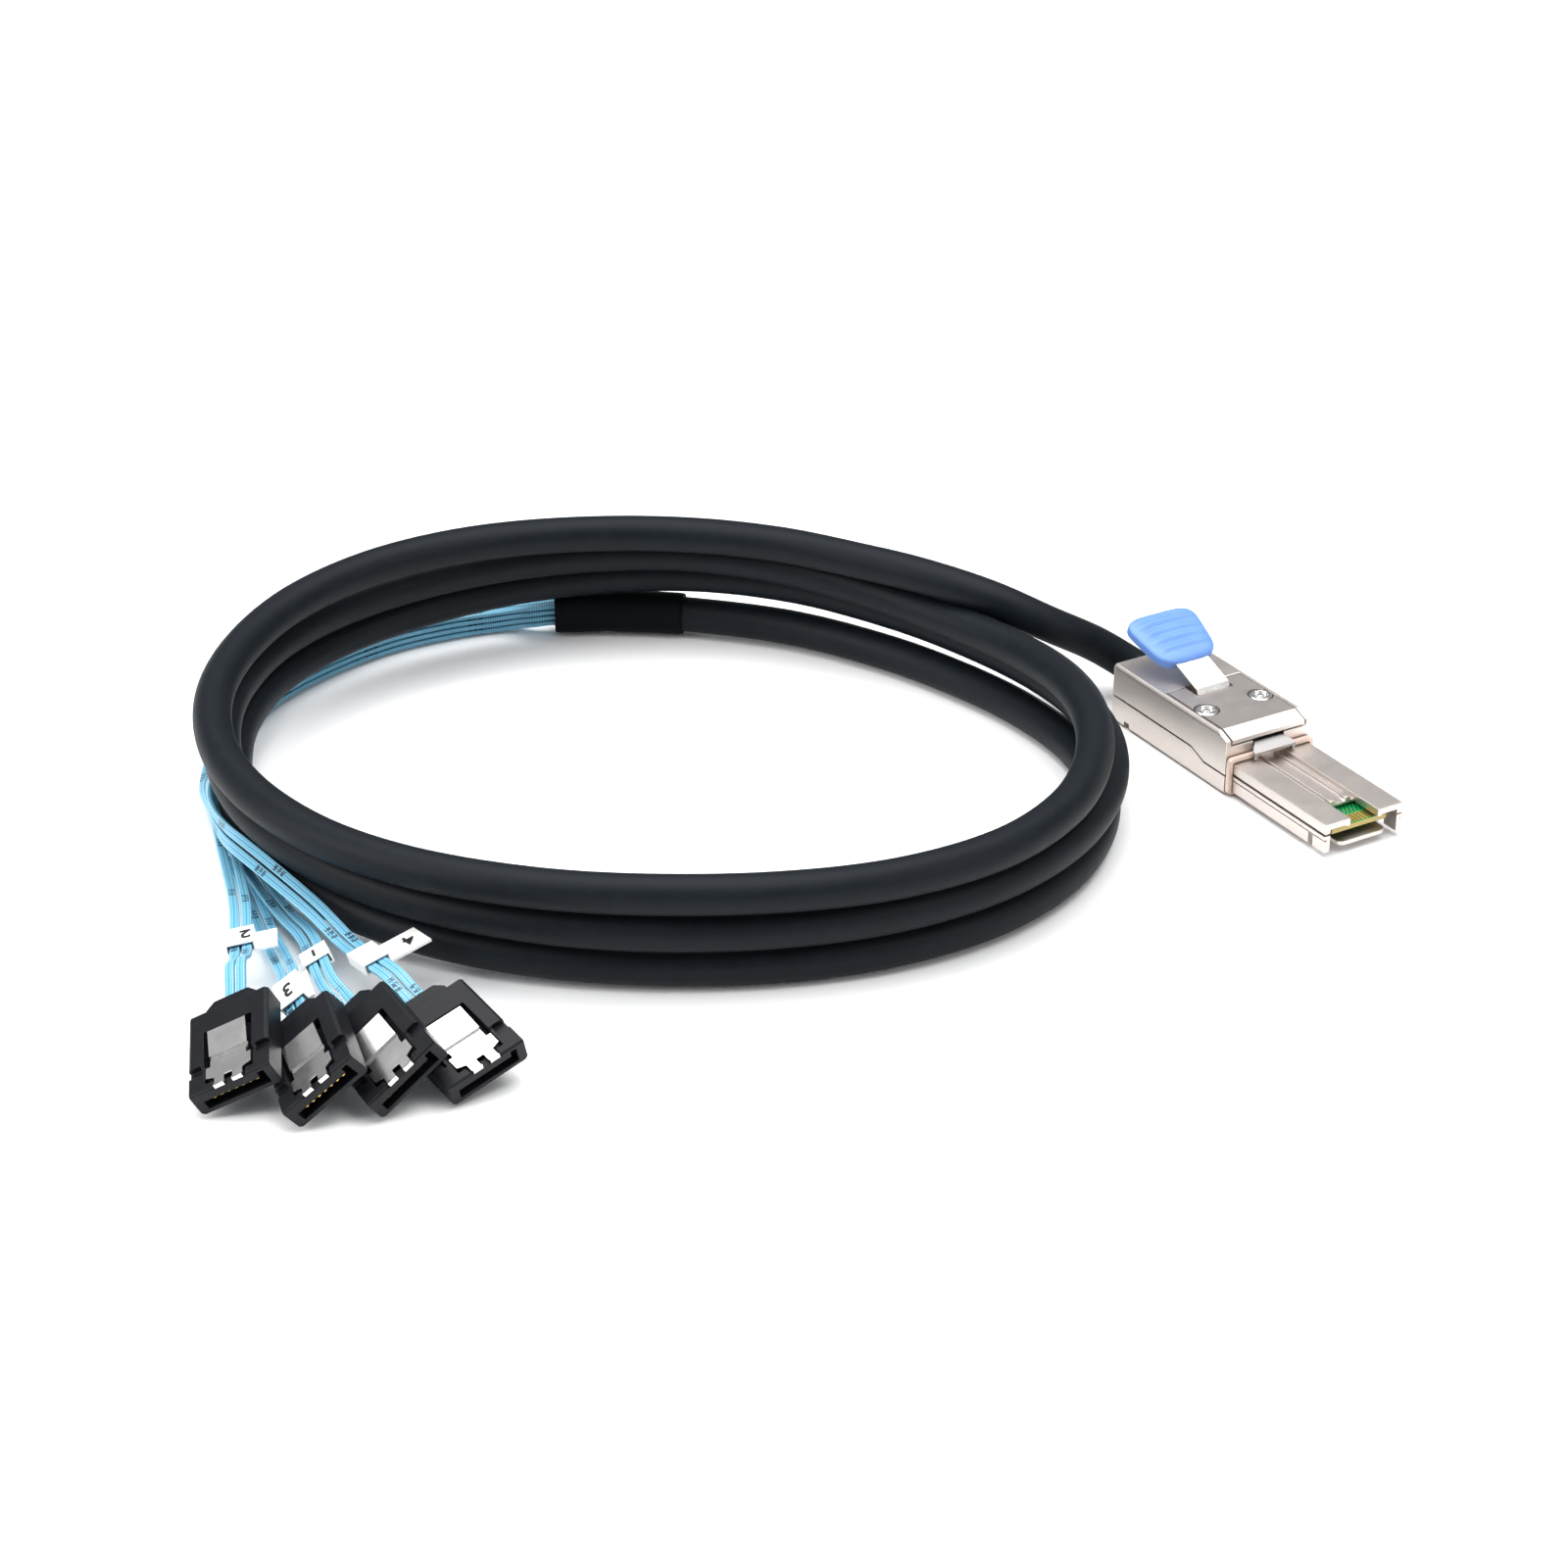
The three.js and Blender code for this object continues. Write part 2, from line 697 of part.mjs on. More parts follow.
function emiGasket() {
  const outer = half - 0.05;
  const inner = outer - gasket.band;
  const shape = roundedRectangle(outer, gasket.bottom, gasket.top, gasket.radius);
  const hole = roundedRectangle(inner, gasket.bottom + gasket.footBand,
    gasket.top - gasket.band, gasket.innerRadius);
  shape.holes.push(new THREE.Path(hole.getPoints(5)));
  const geometry = new THREE.ExtrudeGeometry(shape, {
    depth: gasket.thickness, bevelEnabled: false, curveSegments: 5,
  });
  geometry.applyMatrix4(new THREE.Matrix4().makeBasis(
    new THREE.Vector3(0, 1, 0),
    new THREE.Vector3(0, 0, 1),
    new THREE.Vector3(1, 0, 0),
  ));
  geometry.translate(clearance, 0, 0);
  return solid(geometry);
}

function addPlug(parent) {
  const group = new THREE.Group();
  group.position.set(plug.x, plug.y, 0);
  group.rotation.z = THREE.MathUtils.degToRad(plug.yaw - 90);
  parent.add(group);
  addPiece(group, 'plug_lower_shell', lowerShell(), nickel);
  addPiece(group, 'plug_upper_shell', upperShell(), nickel);
  addPiece(group, 'plug_cover_plate', coverPlate(), nickel);
  addPiece(group, 'cover_boss_left', coverBoss(-1), brightSteel);
  addPiece(group, 'cover_boss_right', coverBoss(1), brightSteel);
  addPiece(group, 'latch_lever', latchLever(), darkSteel);
  addPiece(group, 'release_strap', releaseStrap(), brightSteel);
  addPiece(group, 'pull_tab', pullTab(), bluePlastic);
  addPiece(group, 'emi_gasket', emiGasket(), copperGasket);

  const cardHalf = card.width / 2;
  const cardFront = nose.length - card.frontSetback;
  addPiece(group, 'paddle_card', block(-card.rearX, cardFront, -cardHalf, cardHalf,
    card.height, card.height + card.thickness), boardGreen);
  const blockFront = -card.rearX + 3;
  const wireBody = block(blockFront - wireBlock.length, blockFront, -wireBlock.width / 2,
    wireBlock.width / 2, wireBlock.bottom, wireBlock.top);
  const cardSlot = block(-card.rearX - clearance, blockFront + cutMargin,
    -cardHalf - clearance, cardHalf + clearance, card.height - clearance,
    card.height + card.thickness + clearance);
  addPiece(group, 'wire_block', wireBody.subtract(cardSlot), whitePaper);
  const crimpRear = rear + crimp.fromRear;
  const ring = rodAlongX(boreRadius + crimp.thickness, crimpRear, crimpRear + crimp.length,
    cable.exitHeight, 20);
  const ringBore = rodAlongX(boreRadius, crimpRear - cutMargin, crimpRear + crimp.length + cutMargin,
    cable.exitHeight, 20);
  addPiece(group, 'crimp_ring', ring.subtract(ringBore), darkSteel);
}

// Round cable, from inside the plug, up onto the coil and down its turns

const plugHeading = new THREE.Vector3(
  Math.sin(THREE.MathUtils.degToRad(plug.yaw)),
  -Math.cos(THREE.MathUtils.degToRad(plug.yaw)),
  0,
);

function behindPlug(distance) {
  return new THREE.Vector3(plug.x, plug.y, cable.exitHeight)
    .addScaledVector(plugHeading, -plug.length - distance);
}

// Where the cable leaves the plug and climbs onto the coil
const leadPoints = [
  behindPlug(-cable.insert),
  behindPlug(0),
  behindPlug(6),
  new THREE.Vector3(60.0, 37.3, 10.6),
  new THREE.Vector3(50.5, 35.2, 16.0),
  new THREE.Vector3(39.7, 36.5, 20.6),
  new THREE.Vector3(28.0, 40.6, 23.0),
];

function cablePoints() {
  const points = leadPoints.map((point) => point.clone());
  const steps = Math.floor((coil.lastAngle - coil.leadAngle) / coil.stationAngle);
  for (let i = 0; i <= steps; i += 1) {
    points.push(coilPoint(coil.leadAngle + i * coil.stationAngle));
  }
  points.push(coilPoint(coil.lastAngle));
  return points;
}

function straightUppers(count) {
  return Array.from({ length: count }, () => new THREE.Vector3(0, 0, 1));
}

function mainCable() {
  const points = cablePoints();
  const curve = new LaidCurve(points, straightUppers(points.length));
  return sweep(roundSection(cable.diameter / 2, cable.sides), curve, points.length - 1);
}

// Ribbons, in four pairs stacked in the sleeve and fanned out after the coil

const pairPitch = ribbon.width + ribbon.gap;
const rowPitch = ribbon.thickness + clearance;

// Middle of the whole bundle, round the back and left of the coil
const bundlePoints = [
  [-57, 66.2], [-68, 62.3], [-79, 55.9], [-89, 46.5],
  [-97.8, 34.5], [-103, 22.2], [-105, 9.7],
];

// Each fan point is x, y, height and, where the ribbons are turned on edge, the
// degrees by which their upper side leans away from the coil
const ends = [
  {
    name: 'a', row: 2, x: -84.4, y: -111.6, z: 3.75, yaw: 7, pitch: 11, roll: 26.5,
    fan: [[-104, -2.9, 3.2], [-102.1, -13.6, 3.2], [-99.2, -26.4, 3.2],
      [-95.7, -40.6, 4.1], [-92.6, -54.6, 6.4], [-90.9, -64.8, 7.5],
      [-89.2, -76.7, 8.9]],
    label: { after: 5, side: 1, flag: 3.6 },
  },
  {
    name: 'b', row: 0, x: -69.7, y: -114, z: 5.1, yaw: 18, pitch: 5.3, roll: 39.5,
    fan: [[-103.6, -7.2, 0.75], [-99.6, -21.8, 0.75], [-94.9, -35.8, 0.8],
      [-90.3, -49.3, 0.9], [-86.9, -60.3, 2.3], [-81.8, -77.2, 6.4]],
    label: { after: 6, side: 1, flag: 1 },
  },
  {
    name: 'c', row: 1, x: -57.5, y: -109.9, z: 4.8, yaw: 32, pitch: 6.6, roll: 37,
    fan: [[-103.7, -7.8, 1.95], [-101, -17.3, 1.95], [-97.2, -27.8, 1.95],
      [-92.3, -37.6, 2], [-88.2, -46.5, 2.2], [-84.2, -55.1, 3.3],
      [-79.9, -64.3, 4.9]],
    label: { after: 6, side: -1, flag: 1.3 },
  },
  {
    name: 'd', row: 3, x: -46.2, y: -104.8, z: 2.4, yaw: 37.8, pitch: 9.3, roll: 16.4,
    fan: [[-104.8, -2.3, 4.5, 10], [-104.5, -11.3, 5.6, 50], [-102.6, -19.8, 6.4, 88],
      [-100.3, -27.3, 7.1, 85], [-97.5, -34.1, 8.1, 65], [-93.9, -40.9, 9.3, 50],
      [-88.3, -48.9, 9.5, 40], [-79.4, -60.1, 8.4, 20], [-71.9, -70.5, 7.1, 5]],
    label: { after: 8, side: 1, flag: 7.6 },
  },
];

function endMatrix(place) {
  const yaw = THREE.MathUtils.degToRad(place.yaw);
  const pitch = THREE.MathUtils.degToRad(place.pitch);
  const roll = THREE.MathUtils.degToRad(place.roll);
  const forward = new THREE.Vector3(
    Math.sin(yaw) * Math.cos(pitch), -Math.cos(yaw) * Math.cos(pitch), -Math.sin(pitch));
  const level = new THREE.Vector3(Math.cos(yaw), Math.sin(yaw), 0);
  const risen = new THREE.Vector3().crossVectors(forward, level);
  const across = level.clone().multiplyScalar(Math.cos(roll))
    .addScaledVector(risen, Math.sin(roll));
  const up = new THREE.Vector3().crossVectors(forward, across);
  return new THREE.Matrix4().makeBasis(forward, across, up)
    .setPosition(place.x, place.y, place.z);
}

const ribbonEntry = (clampPiece.bottom + clampPiece.top) / 2;

// Points and upper sides along the middle of one pair of ribbons
function pairPath(place) {
  const rowLift = (place.row - 1.5) * rowPitch;
  const sleeveEnd = coilPoint(sleeve.toAngle);
  const sleeveIn = coilPoint(sleeve.ribbonAngle);
  const heading = sleeveEnd.clone().sub(sleeveIn).normalize();
  const layHeight = ribbon.thickness / 2 + clearance + place.row * rowPitch;
  const lifted = (point, more) => point.clone().add(new THREE.Vector3(0, 0, rowLift + more));
  const points = [
    lifted(sleeveIn, 0),
    lifted(sleeveEnd, 0),
    lifted(sleeveEnd.clone().addScaledVector(heading, 4), -0.4),
  ];
  bundlePoints.forEach(([x, y]) => points.push(new THREE.Vector3(x, y, layHeight)));
  const fanStart = points.length;
  place.fan.forEach(([x, y, z]) => points.push(new THREE.Vector3(x, y, z)));
  const matrix = endMatrix(place);
  const onEnd = (x) => new THREE.Vector3(x, 0, ribbonEntry).applyMatrix4(matrix);
  points.push(onEnd(-clampPiece.rearX - 9), onEnd(-clampPiece.rearX - 3.5));
  points.push(onEnd(-clampPiece.rearX + 0.5), onEnd(-end.length + clearance));
  const tableUp = new THREE.Vector3(0, 0, 1);
  const endUp = tableUp.clone().transformDirection(matrix);
  const route = new LaidCurve(points, points.map(() => tableUp));
  const uppers = points.map((point, i) => {
    const [, , , tilt = 0] = place.fan[i - fanStart] ?? [];
    const turned = THREE.MathUtils.degToRad(tilt);
    const outward = route.getTangent(i / (points.length - 1)).cross(tableUp).normalize();
    const ending = THREE.MathUtils.smoothstep(i, points.length - 7, points.length - 3);
    return tableUp.clone().multiplyScalar(Math.cos(turned))
      .addScaledVector(outward, Math.sin(turned)).lerp(endUp, ending).normalize();
  });
  return { points, uppers, fanStart };
}

function ribbonCurve(path, side) {
  const middle = new LaidCurve(path.points, path.uppers);
  const frames = middle.computeFrenetFrames(path.points.length - 1);
  const points = path.points.map((point, i) => point.clone()
    .addScaledVector(frames.normals[i], (side * pairPitch) / 2));
  return new LaidCurve(points, path.uppers);
}

function addRibbons(parent) {
  for (const place of ends) {
    const path = pairPath(place);
    for (const [side, word] of [[-1, 'left'], [1, 'right']]) {
      const curve = ribbonCurve(path, side);
      const body = sweep(ribbonSection(ribbon.width, ribbon.thickness), curve,
        path.points.length - 1);
      addPiece(parent, `ribbon_${place.name}_${word}`, body, ribbonBlue);
    }
    addPiece(parent, `label_${place.name}`, paperLabel(place, path), whitePaper);
  }
}

// Paper label folded round a pair, with its two ends stuck together as a flag
function paperLabel(place, path) {
  const curve = new LaidCurve(path.points, path.uppers);
  const count = path.points.length - 1;
  const station = path.fanStart + place.label.after;
  const t = (station + 0.5) / count;
  const a = curve.getPoint(station / count);
  const b = curve.getPoint((station + 1) / count);
  const forward = b.clone().sub(a).normalize();
  const side = new THREE.Vector3().crossVectors(curve.upperAt(t), forward).normalize();
  const up = new THREE.Vector3().crossVectors(forward, side).normalize();
  const holeHalf = (2 * ribbon.width + ribbon.gap) / 2 + clearance;
  const holeRise = ribbon.thickness / 2 + clearance;
  const wallHalf = holeHalf + paper.thickness;
  const wallRise = holeRise + paper.thickness;
  const reach = paper.length / 2;
  const wrap = block(-reach, reach, -wallHalf, wallHalf, -wallRise, wallRise);
  const flagFar = wallHalf + place.label.flag;
  const flag = place.label.side > 0
    ? block(-reach, reach, wallHalf - paper.thickness, flagFar, -wallRise,
      -wallRise + paper.flagThickness)
    : block(-reach, reach, -flagFar, -wallHalf + paper.thickness, -wallRise,
      -wallRise + paper.flagThickness);
  const hole = block(-reach - cutMargin, reach + cutMargin, -holeHalf, holeHalf,
    -holeRise, holeRise);
  const body = wrap.add(flag).subtract(hole);
  const middle = a.clone().add(b).multiplyScalar(0.5);
  const matrix = new THREE.Matrix4().makeBasis(forward, side, up).setPosition(middle);
  return body.transform(matrix.elements);
}

// Sleeve over the end of the round cable and the start of the ribbons

function coilCurve(from, to, steps) {
  const points = [];
  for (let i = 0; i <= steps; i += 1) {
    points.push(coilPoint(from + ((to - from) * i) / steps));
  }
  return new LaidCurve(points, straightUppers(points.length));
}

function breakoutSleeve() {
  const innerRadius = cable.diameter / 2 + clearance;
  const outer = sweep(roundSection(innerRadius + sleeve.thickness, 12),
    coilCurve(sleeve.fromAngle, sleeve.toAngle, 6), 6);
  const boreEnd = coil.lastAngle + 0.6;
  const bore = sweep(roundSection(innerRadius, cable.sides),
    coilCurve(sleeve.fromAngle - 3, boreEnd, 4), 4);
  const socketHalfWidth = (2 * ribbon.width + ribbon.gap) / 2 + clearance;
  const socketHalfHeight = (4 * ribbon.thickness + 5 * clearance) / 2;
  const socket = sweep(outline([
    [-socketHalfWidth, -socketHalfHeight], [socketHalfWidth, -socketHalfHeight],
    [socketHalfWidth, socketHalfHeight], [-socketHalfWidth, socketHalfHeight],
  ]), coilCurve(boreEnd + sleeve.wallAngle, sleeve.toAngle + 2, 3), 3);
  return outer.subtract(bore).subtract(socket);
}

// Small connector pieces

function endHousing() {
  const w = end.width / 2;
  const far = cutMargin;
  const section = endCut(chamferedSection(w, 0, end.back, end.corner), -end.length, 0);
  const sideProfile = sideCut([
    [-end.length, 0], [0, 0], [0, end.front - 0.3], [-0.3, end.front],
    [-end.shoulder + 0.4, end.front], [-end.shoulder, end.back], [-end.length, end.back],
  ], w + far);
  let body = section.intersect(sideProfile);
  const notchFloor = end.slotTop + clearance;
  for (const side of [-1, 1]) {
    const y0 = side > 0 ? end.notchInner : -w - far;
    const y1 = side > 0 ? w + far : -end.notchInner;
    body = body.subtract(block(-end.shoulder, -end.notchFront, y0, y1, notchFloor + 1, end.back + far));
  }
  body = body.subtract(block(-end.pocketRear, -end.shelfLength, -end.pocketHalf, end.pocketHalf,
    end.pocketFloor, end.back + far));
  body = body.subtract(block(-end.shelfLength - far, far, -end.shelfHalf, end.shelfHalf,
    end.shelfFloor, end.back + far));
  body = body.subtract(block(-end.slotDepth, far, -end.slotHalf, end.slotHalf,
    end.slotBottom, end.slotTop));
  body = body.subtract(block(-end.slotDepth, far, end.slotHalf - end.keyWidth, end.slotHalf,
    end.slotBottom, end.keyTop));
  const gap = clearance;
  const seat = block(-end.length - far, -clampPiece.innerX + gap, -clampPiece.neckHalfWidth - gap,
    clampPiece.neckHalfWidth + gap, clampPiece.bottom - gap, clampPiece.top + gap);
  return body.subtract(seat);
}

function endClamp() {
  const { rearX, innerX, halfWidth, neckHalfWidth, bottom, top, corner } = clampPiece;
  const face = -end.length - clearance;
  const shape = outline([
    [-rearX, -halfWidth + corner], [-rearX + corner, -halfWidth], [face, -halfWidth],
    [face, -neckHalfWidth], [-innerX, -neckHalfWidth], [-innerX, neckHalfWidth],
    [face, neckHalfWidth], [face, halfWidth], [-rearX + corner, halfWidth],
    [-rearX, halfWidth - corner],
  ]);
  const slotHalf = (2 * ribbon.width + ribbon.gap) / 2 + clearance;
  const slotRise = ribbon.thickness / 2 + clearance;
  const slot = block(-rearX - cutMargin, -end.length + 2 * clearance, -slotHalf, slotHalf,
    ribbonEntry - slotRise, ribbonEntry + slotRise);
  return plate(shape, bottom, top).subtract(slot);
}

function contactComb() {
  const outerHalf = ((contacts.count - 1) * contacts.pitch + contacts.fingerWidth) / 2;
  const rearX = -end.slotDepth + clearance;
  const barFront = rearX + contacts.barLength;
  const points = [[rearX, -outerHalf]];
  for (let i = 0; i < contacts.count; i += 1) {
    const y = (i - (contacts.count - 1) / 2) * contacts.pitch;
    const y0 = y - contacts.fingerWidth / 2;
    const y1 = y + contacts.fingerWidth / 2;
    points.push([barFront, y0], [-contacts.tipSetback, y0], [-contacts.tipSetback, y1],
      [barFront, y1]);
  }
  points.splice(1, 1);
  points.splice(points.length - 1, 1);
  points.push([rearX, outerHalf]);
  return plate(outline(points), contacts.height, contacts.height + contacts.thickness);
}

function latchSpring() {
  const t = latch.thickness;
  const h = latch.height;
  const g = h - latch.grooveDrop;
  const lift = h + latch.tabLift;
  const tip = -latch.tipX;
  const profile = sideCut([
    [-latch.rearX, lift], [-latch.grooveRear - t, h + 0.1], [-latch.grooveRear - t, g],
    [-latch.grooveFront + t, g], [-latch.grooveFront + t, h], [tip, h],
    [tip, h + t], [-latch.grooveFront, h + t], [-latch.grooveFront, g + t],
    [-latch.grooveRear, g + t], [-latch.grooveRear, h + 0.1 + t], [-latch.rearX, lift + t],
  ], latch.earHalf + cutMargin);
  const flatHalf = [
    [-latch.rearX, latch.tabHalf], [-latch.grooveRear, latch.tabHalf],
    [-latch.grooveFront, latch.plateHalf], [-latch.earRear, latch.plateHalf],
    [-latch.earRear, latch.earHalf], [-latch.earFront, latch.earHalf],
    [-latch.notchX, latch.prongOuter], [tip, latch.prongOuter],
  ];
  const shape = outline([
    ...flatHalf, [tip, latch.prongInner], [-latch.notchX, latch.prongInner],
    [-latch.notchX, -latch.prongInner], [tip, -latch.prongInner],
    ...flatHalf.map(([x, y]) => [x, -y]).reverse(),
  ]);
  let body = profile.intersect(plate(shape, 0, 2 * end.back));
  for (const side of [-1, 1]) {
    const y = (side * (latch.prongOuter + latch.prongInner)) / 2;
    const w = (latch.prongOuter - latch.prongInner) / 2;
    body = body.add(block(tip - latch.hookLength, tip, y - w, y + w, h + t / 2, h + 2 * t));
  }
  return body;
}

function addEnds(parent) {
  for (const place of ends) {
    const group = new THREE.Group();
    group.applyMatrix4(endMatrix(place));
    parent.add(group);
    addPiece(group, `housing_${place.name}`, endHousing(), blackPlastic);
    addPiece(group, `ribbon_clamp_${place.name}`, endClamp(), blackPlastic);
    addPiece(group, `contacts_${place.name}`, contactComb(), gold);
    addPiece(group, `latch_${place.name}`, latchSpring(), brightSteel);
  }
}

// Assembly

const group = new THREE.Group();
const layout = new THREE.Group();
layout.position.set(-standPoint[0], -standPoint[1], -standPoint[2]);
group.add(layout);
addPlug(layout);
addPiece(layout, 'main_cable', mainCable(), jacketBlack);
addPiece(layout, 'breakout_sleeve', breakoutSleeve(), sleeveBlack);
addRibbons(layout);
addEnds(layout);

export default group;
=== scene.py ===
# %% [markdown]
# A breakout cable, lying coiled on a table. One shielded metal plug with a blue pull tab
# feeds a round black cable. The cable is wound in a little over three turns, and at the
# back it ends in a shrunk sleeve, where eight flat blue ribbons come out. They run round
# the left of the coil in four pairs, and each pair ends in a small latching connector.
#
# The solids of the metal and plastic pieces are already made, and are loaded first. They
# are never changed here. What this script adds is the finish: rounded edges, soft shapes,
# fine parts and materials.

# %% The solids, as a fixed frame
import math
import bmesh
import bpy
import numpy as np
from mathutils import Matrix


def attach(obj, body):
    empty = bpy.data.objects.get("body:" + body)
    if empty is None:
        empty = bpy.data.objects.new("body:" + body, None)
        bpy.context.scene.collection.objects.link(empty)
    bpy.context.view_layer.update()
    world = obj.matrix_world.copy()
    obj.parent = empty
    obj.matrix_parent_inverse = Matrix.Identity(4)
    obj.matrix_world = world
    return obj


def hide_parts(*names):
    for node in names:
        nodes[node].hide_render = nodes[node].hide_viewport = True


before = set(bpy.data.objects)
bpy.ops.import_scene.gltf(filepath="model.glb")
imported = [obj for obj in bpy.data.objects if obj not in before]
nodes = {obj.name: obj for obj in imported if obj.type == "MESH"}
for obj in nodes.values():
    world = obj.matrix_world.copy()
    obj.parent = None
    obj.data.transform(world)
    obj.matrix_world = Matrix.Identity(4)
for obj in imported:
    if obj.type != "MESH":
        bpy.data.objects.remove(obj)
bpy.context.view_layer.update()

MM = 0.001

# %% [markdown]
# The camera comes first, since everything is judged through it. It looks along +Y from
# 28 degrees above the table with a long lens, as a product photograph is taken, so lines
# stay nearly parallel. The floor is a plain pale sheet, and the light is two large soft
# boxes and a bright surround: soft light gives dark plastic its long smooth highlights.

# %% Camera, floor and light
VIEW_DOWN = math.radians(28)
CAMERA_PLACE = (-2.03 * MM, -551.5 * MM, 305.6 * MM)
LENS = 81
FILM_WIDTH = 36
camera = bpy.data.objects.new("camera", bpy.data.cameras.new("camera"))
camera.data.lens = LENS
camera.data.sensor_width = FILM_WIDTH
camera.data.clip_start = 0.01
camera.location = CAMERA_PLACE
camera.rotation_euler = (math.pi / 2 - VIEW_DOWN, 0, 0)
scene = bpy.context.scene
scene.collection.objects.link(camera)
scene.camera = camera
scene.view_settings.view_transform = "Standard"


def soft_box(name, place, aim, size, power):
    """A square area light at place, in metres, turned so that it shines at aim."""
    lamp = bpy.data.lights.new(name, "AREA")
    lamp.size = size
    lamp.energy = power
    light = bpy.data.objects.new(name, lamp)
    scene.collection.objects.link(light)
    light.location = place
    away = np.array(place) - np.array(aim)
    flat = math.hypot(away[0], away[1])
    light.rotation_euler = (math.atan2(flat, away[2]), 0, math.atan2(away[0], -away[1]))
    return light


soft_box("overhead_light", (0.0, 0.05, 0.9), (0, 0, 0), 1.1, 14.0)
soft_box("left_light", (-0.9, -0.35, 0.5), (0, 0, 0), 0.6, 7.0)
soft_box("right_light", (0.9, -0.5, 0.5), (0.05, 0, 0), 0.4, 2.0)

# The surround is bright overhead and darker in a band behind the cable, so that upright
# metal stays light and level metal, which mirrors the band, takes on a grey.
world = bpy.data.worlds.new("studio")
scene.world = world
world.use_nodes = True
sky = world.node_tree
background = sky.nodes["Background"]
direction = sky.nodes.new("ShaderNodeTexCoord")
split = sky.nodes.new("ShaderNodeSeparateXYZ")
sky.links.new(direction.outputs["Generated"], split.inputs[0])
band = sky.nodes.new("ShaderNodeMapRange")
band.interpolation_type = "SMOOTHSTEP"
for key, value in {"From Min": 0.5, "From Max": 0.95, "To Min": 0.32, "To Max": 0.85}.items():
    band.inputs[key].default_value = value
sky.links.new(split.outputs["Z"], band.inputs["Value"])
sky.links.new(band.outputs[0], background.inputs["Strength"])
background.inputs["Color"].default_value = (0.97, 0.98, 1.0, 1)

# %% [markdown]
# Materials are small sums, so they are written as sums. A `Value` wraps one output of one
# node, and an expression such as `1 - mask` adds the Math nodes that work it out. Any
# other node comes from `Finish.node`, which takes its settings first and its inputs next.

# %% Shader sums


class Value:
    """One output socket of a material, used like a number: each operation adds a node."""

    def __init__(self, finish, socket):
        self.finish = finish
        self.socket = socket

    def _sum(self, operation, *terms):
        inputs = dict(enumerate(terms))
        return self.finish.node("ShaderNodeMath", {"operation": operation}, inputs)

    def __add__(self, other):
        return self._sum("ADD", self, other)

    def __sub__(self, other):
        return self._sum("SUBTRACT", self, other)

    def __rsub__(self, other):
        return self._sum("SUBTRACT", other, self)

    def __mul__(self, other):
        return self._sum("MULTIPLY", self, other)

    def __gt__(self, other):
        return self._sum("GREATER_THAN", self, other)

    def __lt__(self, other):
        return self._sum("LESS_THAN", self, other)

    def __mod__(self, other):
        return self._sum("FLOORED_MODULO", self, other)

    def sine(self):
        return self._sum("SINE", self)

    def size(self):
        return self._sum("ABSOLUTE", self)

    __radd__ = __add__
    __rmul__ = __mul__


class Finish:
    """A material being made: a colour, a roughness, and the nodes that vary them."""

    def __init__(self, name, color, roughness, metallic=0.0, **fixed):
        self.material = bpy.data.materials.new(name)
        self.material.use_nodes = True
        self.nodes = self.material.node_tree.nodes
        self.links = self.material.node_tree.links
        self.shader = self.nodes["Principled BSDF"]
        self.put(self.shader, {"Base Color": (*color, 1), "Roughness": roughness,
                               "Metallic": metallic, **fixed})
        self.material.diffuse_color = (*color, 1)

    def put(self, node, inputs):
        for key, value in inputs.items():
            if isinstance(value, Value):
                self.links.new(value.socket, node.inputs[key])
            else:
                node.inputs[key].default_value = value

    def node(self, kind, settings=None, inputs=None, output=0):
        made = self.nodes.new(kind)
        for key, value in (settings or {}).items():
            setattr(made, key, value)
        self.put(made, inputs or {})
        return Value(self, made.outputs[output])

    def noise(self, scale, detail=3.0, rough=0.55):
        """Cloudy noise from 0 to 1 with scale features to the millimetre."""
        spot = self.node("ShaderNodeTexCoord", output="Object")
        where = self.node("ShaderNodeMapping", None, {"Vector": spot, "Scale": (1 / MM,) * 3})
        return self.node("ShaderNodeTexNoise", None,
                         {"Vector": where, "Scale": scale, "Detail": detail, "Roughness": rough})

    def blend(self, share, first, second):
        """The first colour where share is 0 and the second where it is 1."""
        made = self.nodes.new("ShaderNodeMix")
        made.data_type = "RGBA"
        self.put(made, {0: share})
        for socket, value in zip((made.inputs[6], made.inputs[7]), (first, second)):
            if isinstance(value, Value):
                self.links.new(value.socket, socket)
            else:
                socket.default_value = (*value, 1)
        return Value(self, made.outputs[2])

    def ramp(self, share, low, high):
        """share, measured from low to high, as 0 to 1 and no further."""
        return self.node("ShaderNodeMapRange", {"interpolation_type": "SMOOTHSTEP"},
                         {"Value": share, "From Min": low, "From Max": high})

    def split(self, vector):
        """The first, second and third parts of a vector."""
        first = self.node("ShaderNodeSeparateXYZ", None, {0: vector})
        return [Value(self, part) for part in first.socket.node.outputs]

    def color(self, value):
        self.put(self.shader, {"Base Color": value})

    def roughness(self, value):
        self.put(self.shader, {"Roughness": value})

    def bump(self, height, depth_mm, strength=1.0):
        """Height from 0 to 1 stands for depth_mm of real relief."""
        relief = self.node("ShaderNodeBump", None,
                           {"Height": height, "Distance": depth_mm * MM, "Strength": strength})
        self.put(self.shader, {"Normal": relief})


def linear(code):
    """A hexadecimal screen colour as the linear colour that shaders use."""
    parts = [int(code[i:i + 2], 16) / 255 for i in (0, 2, 4)]
    return tuple(p / 12.92 if p < 0.04045 else ((p + 0.055) / 1.055) ** 2.4 for p in parts)


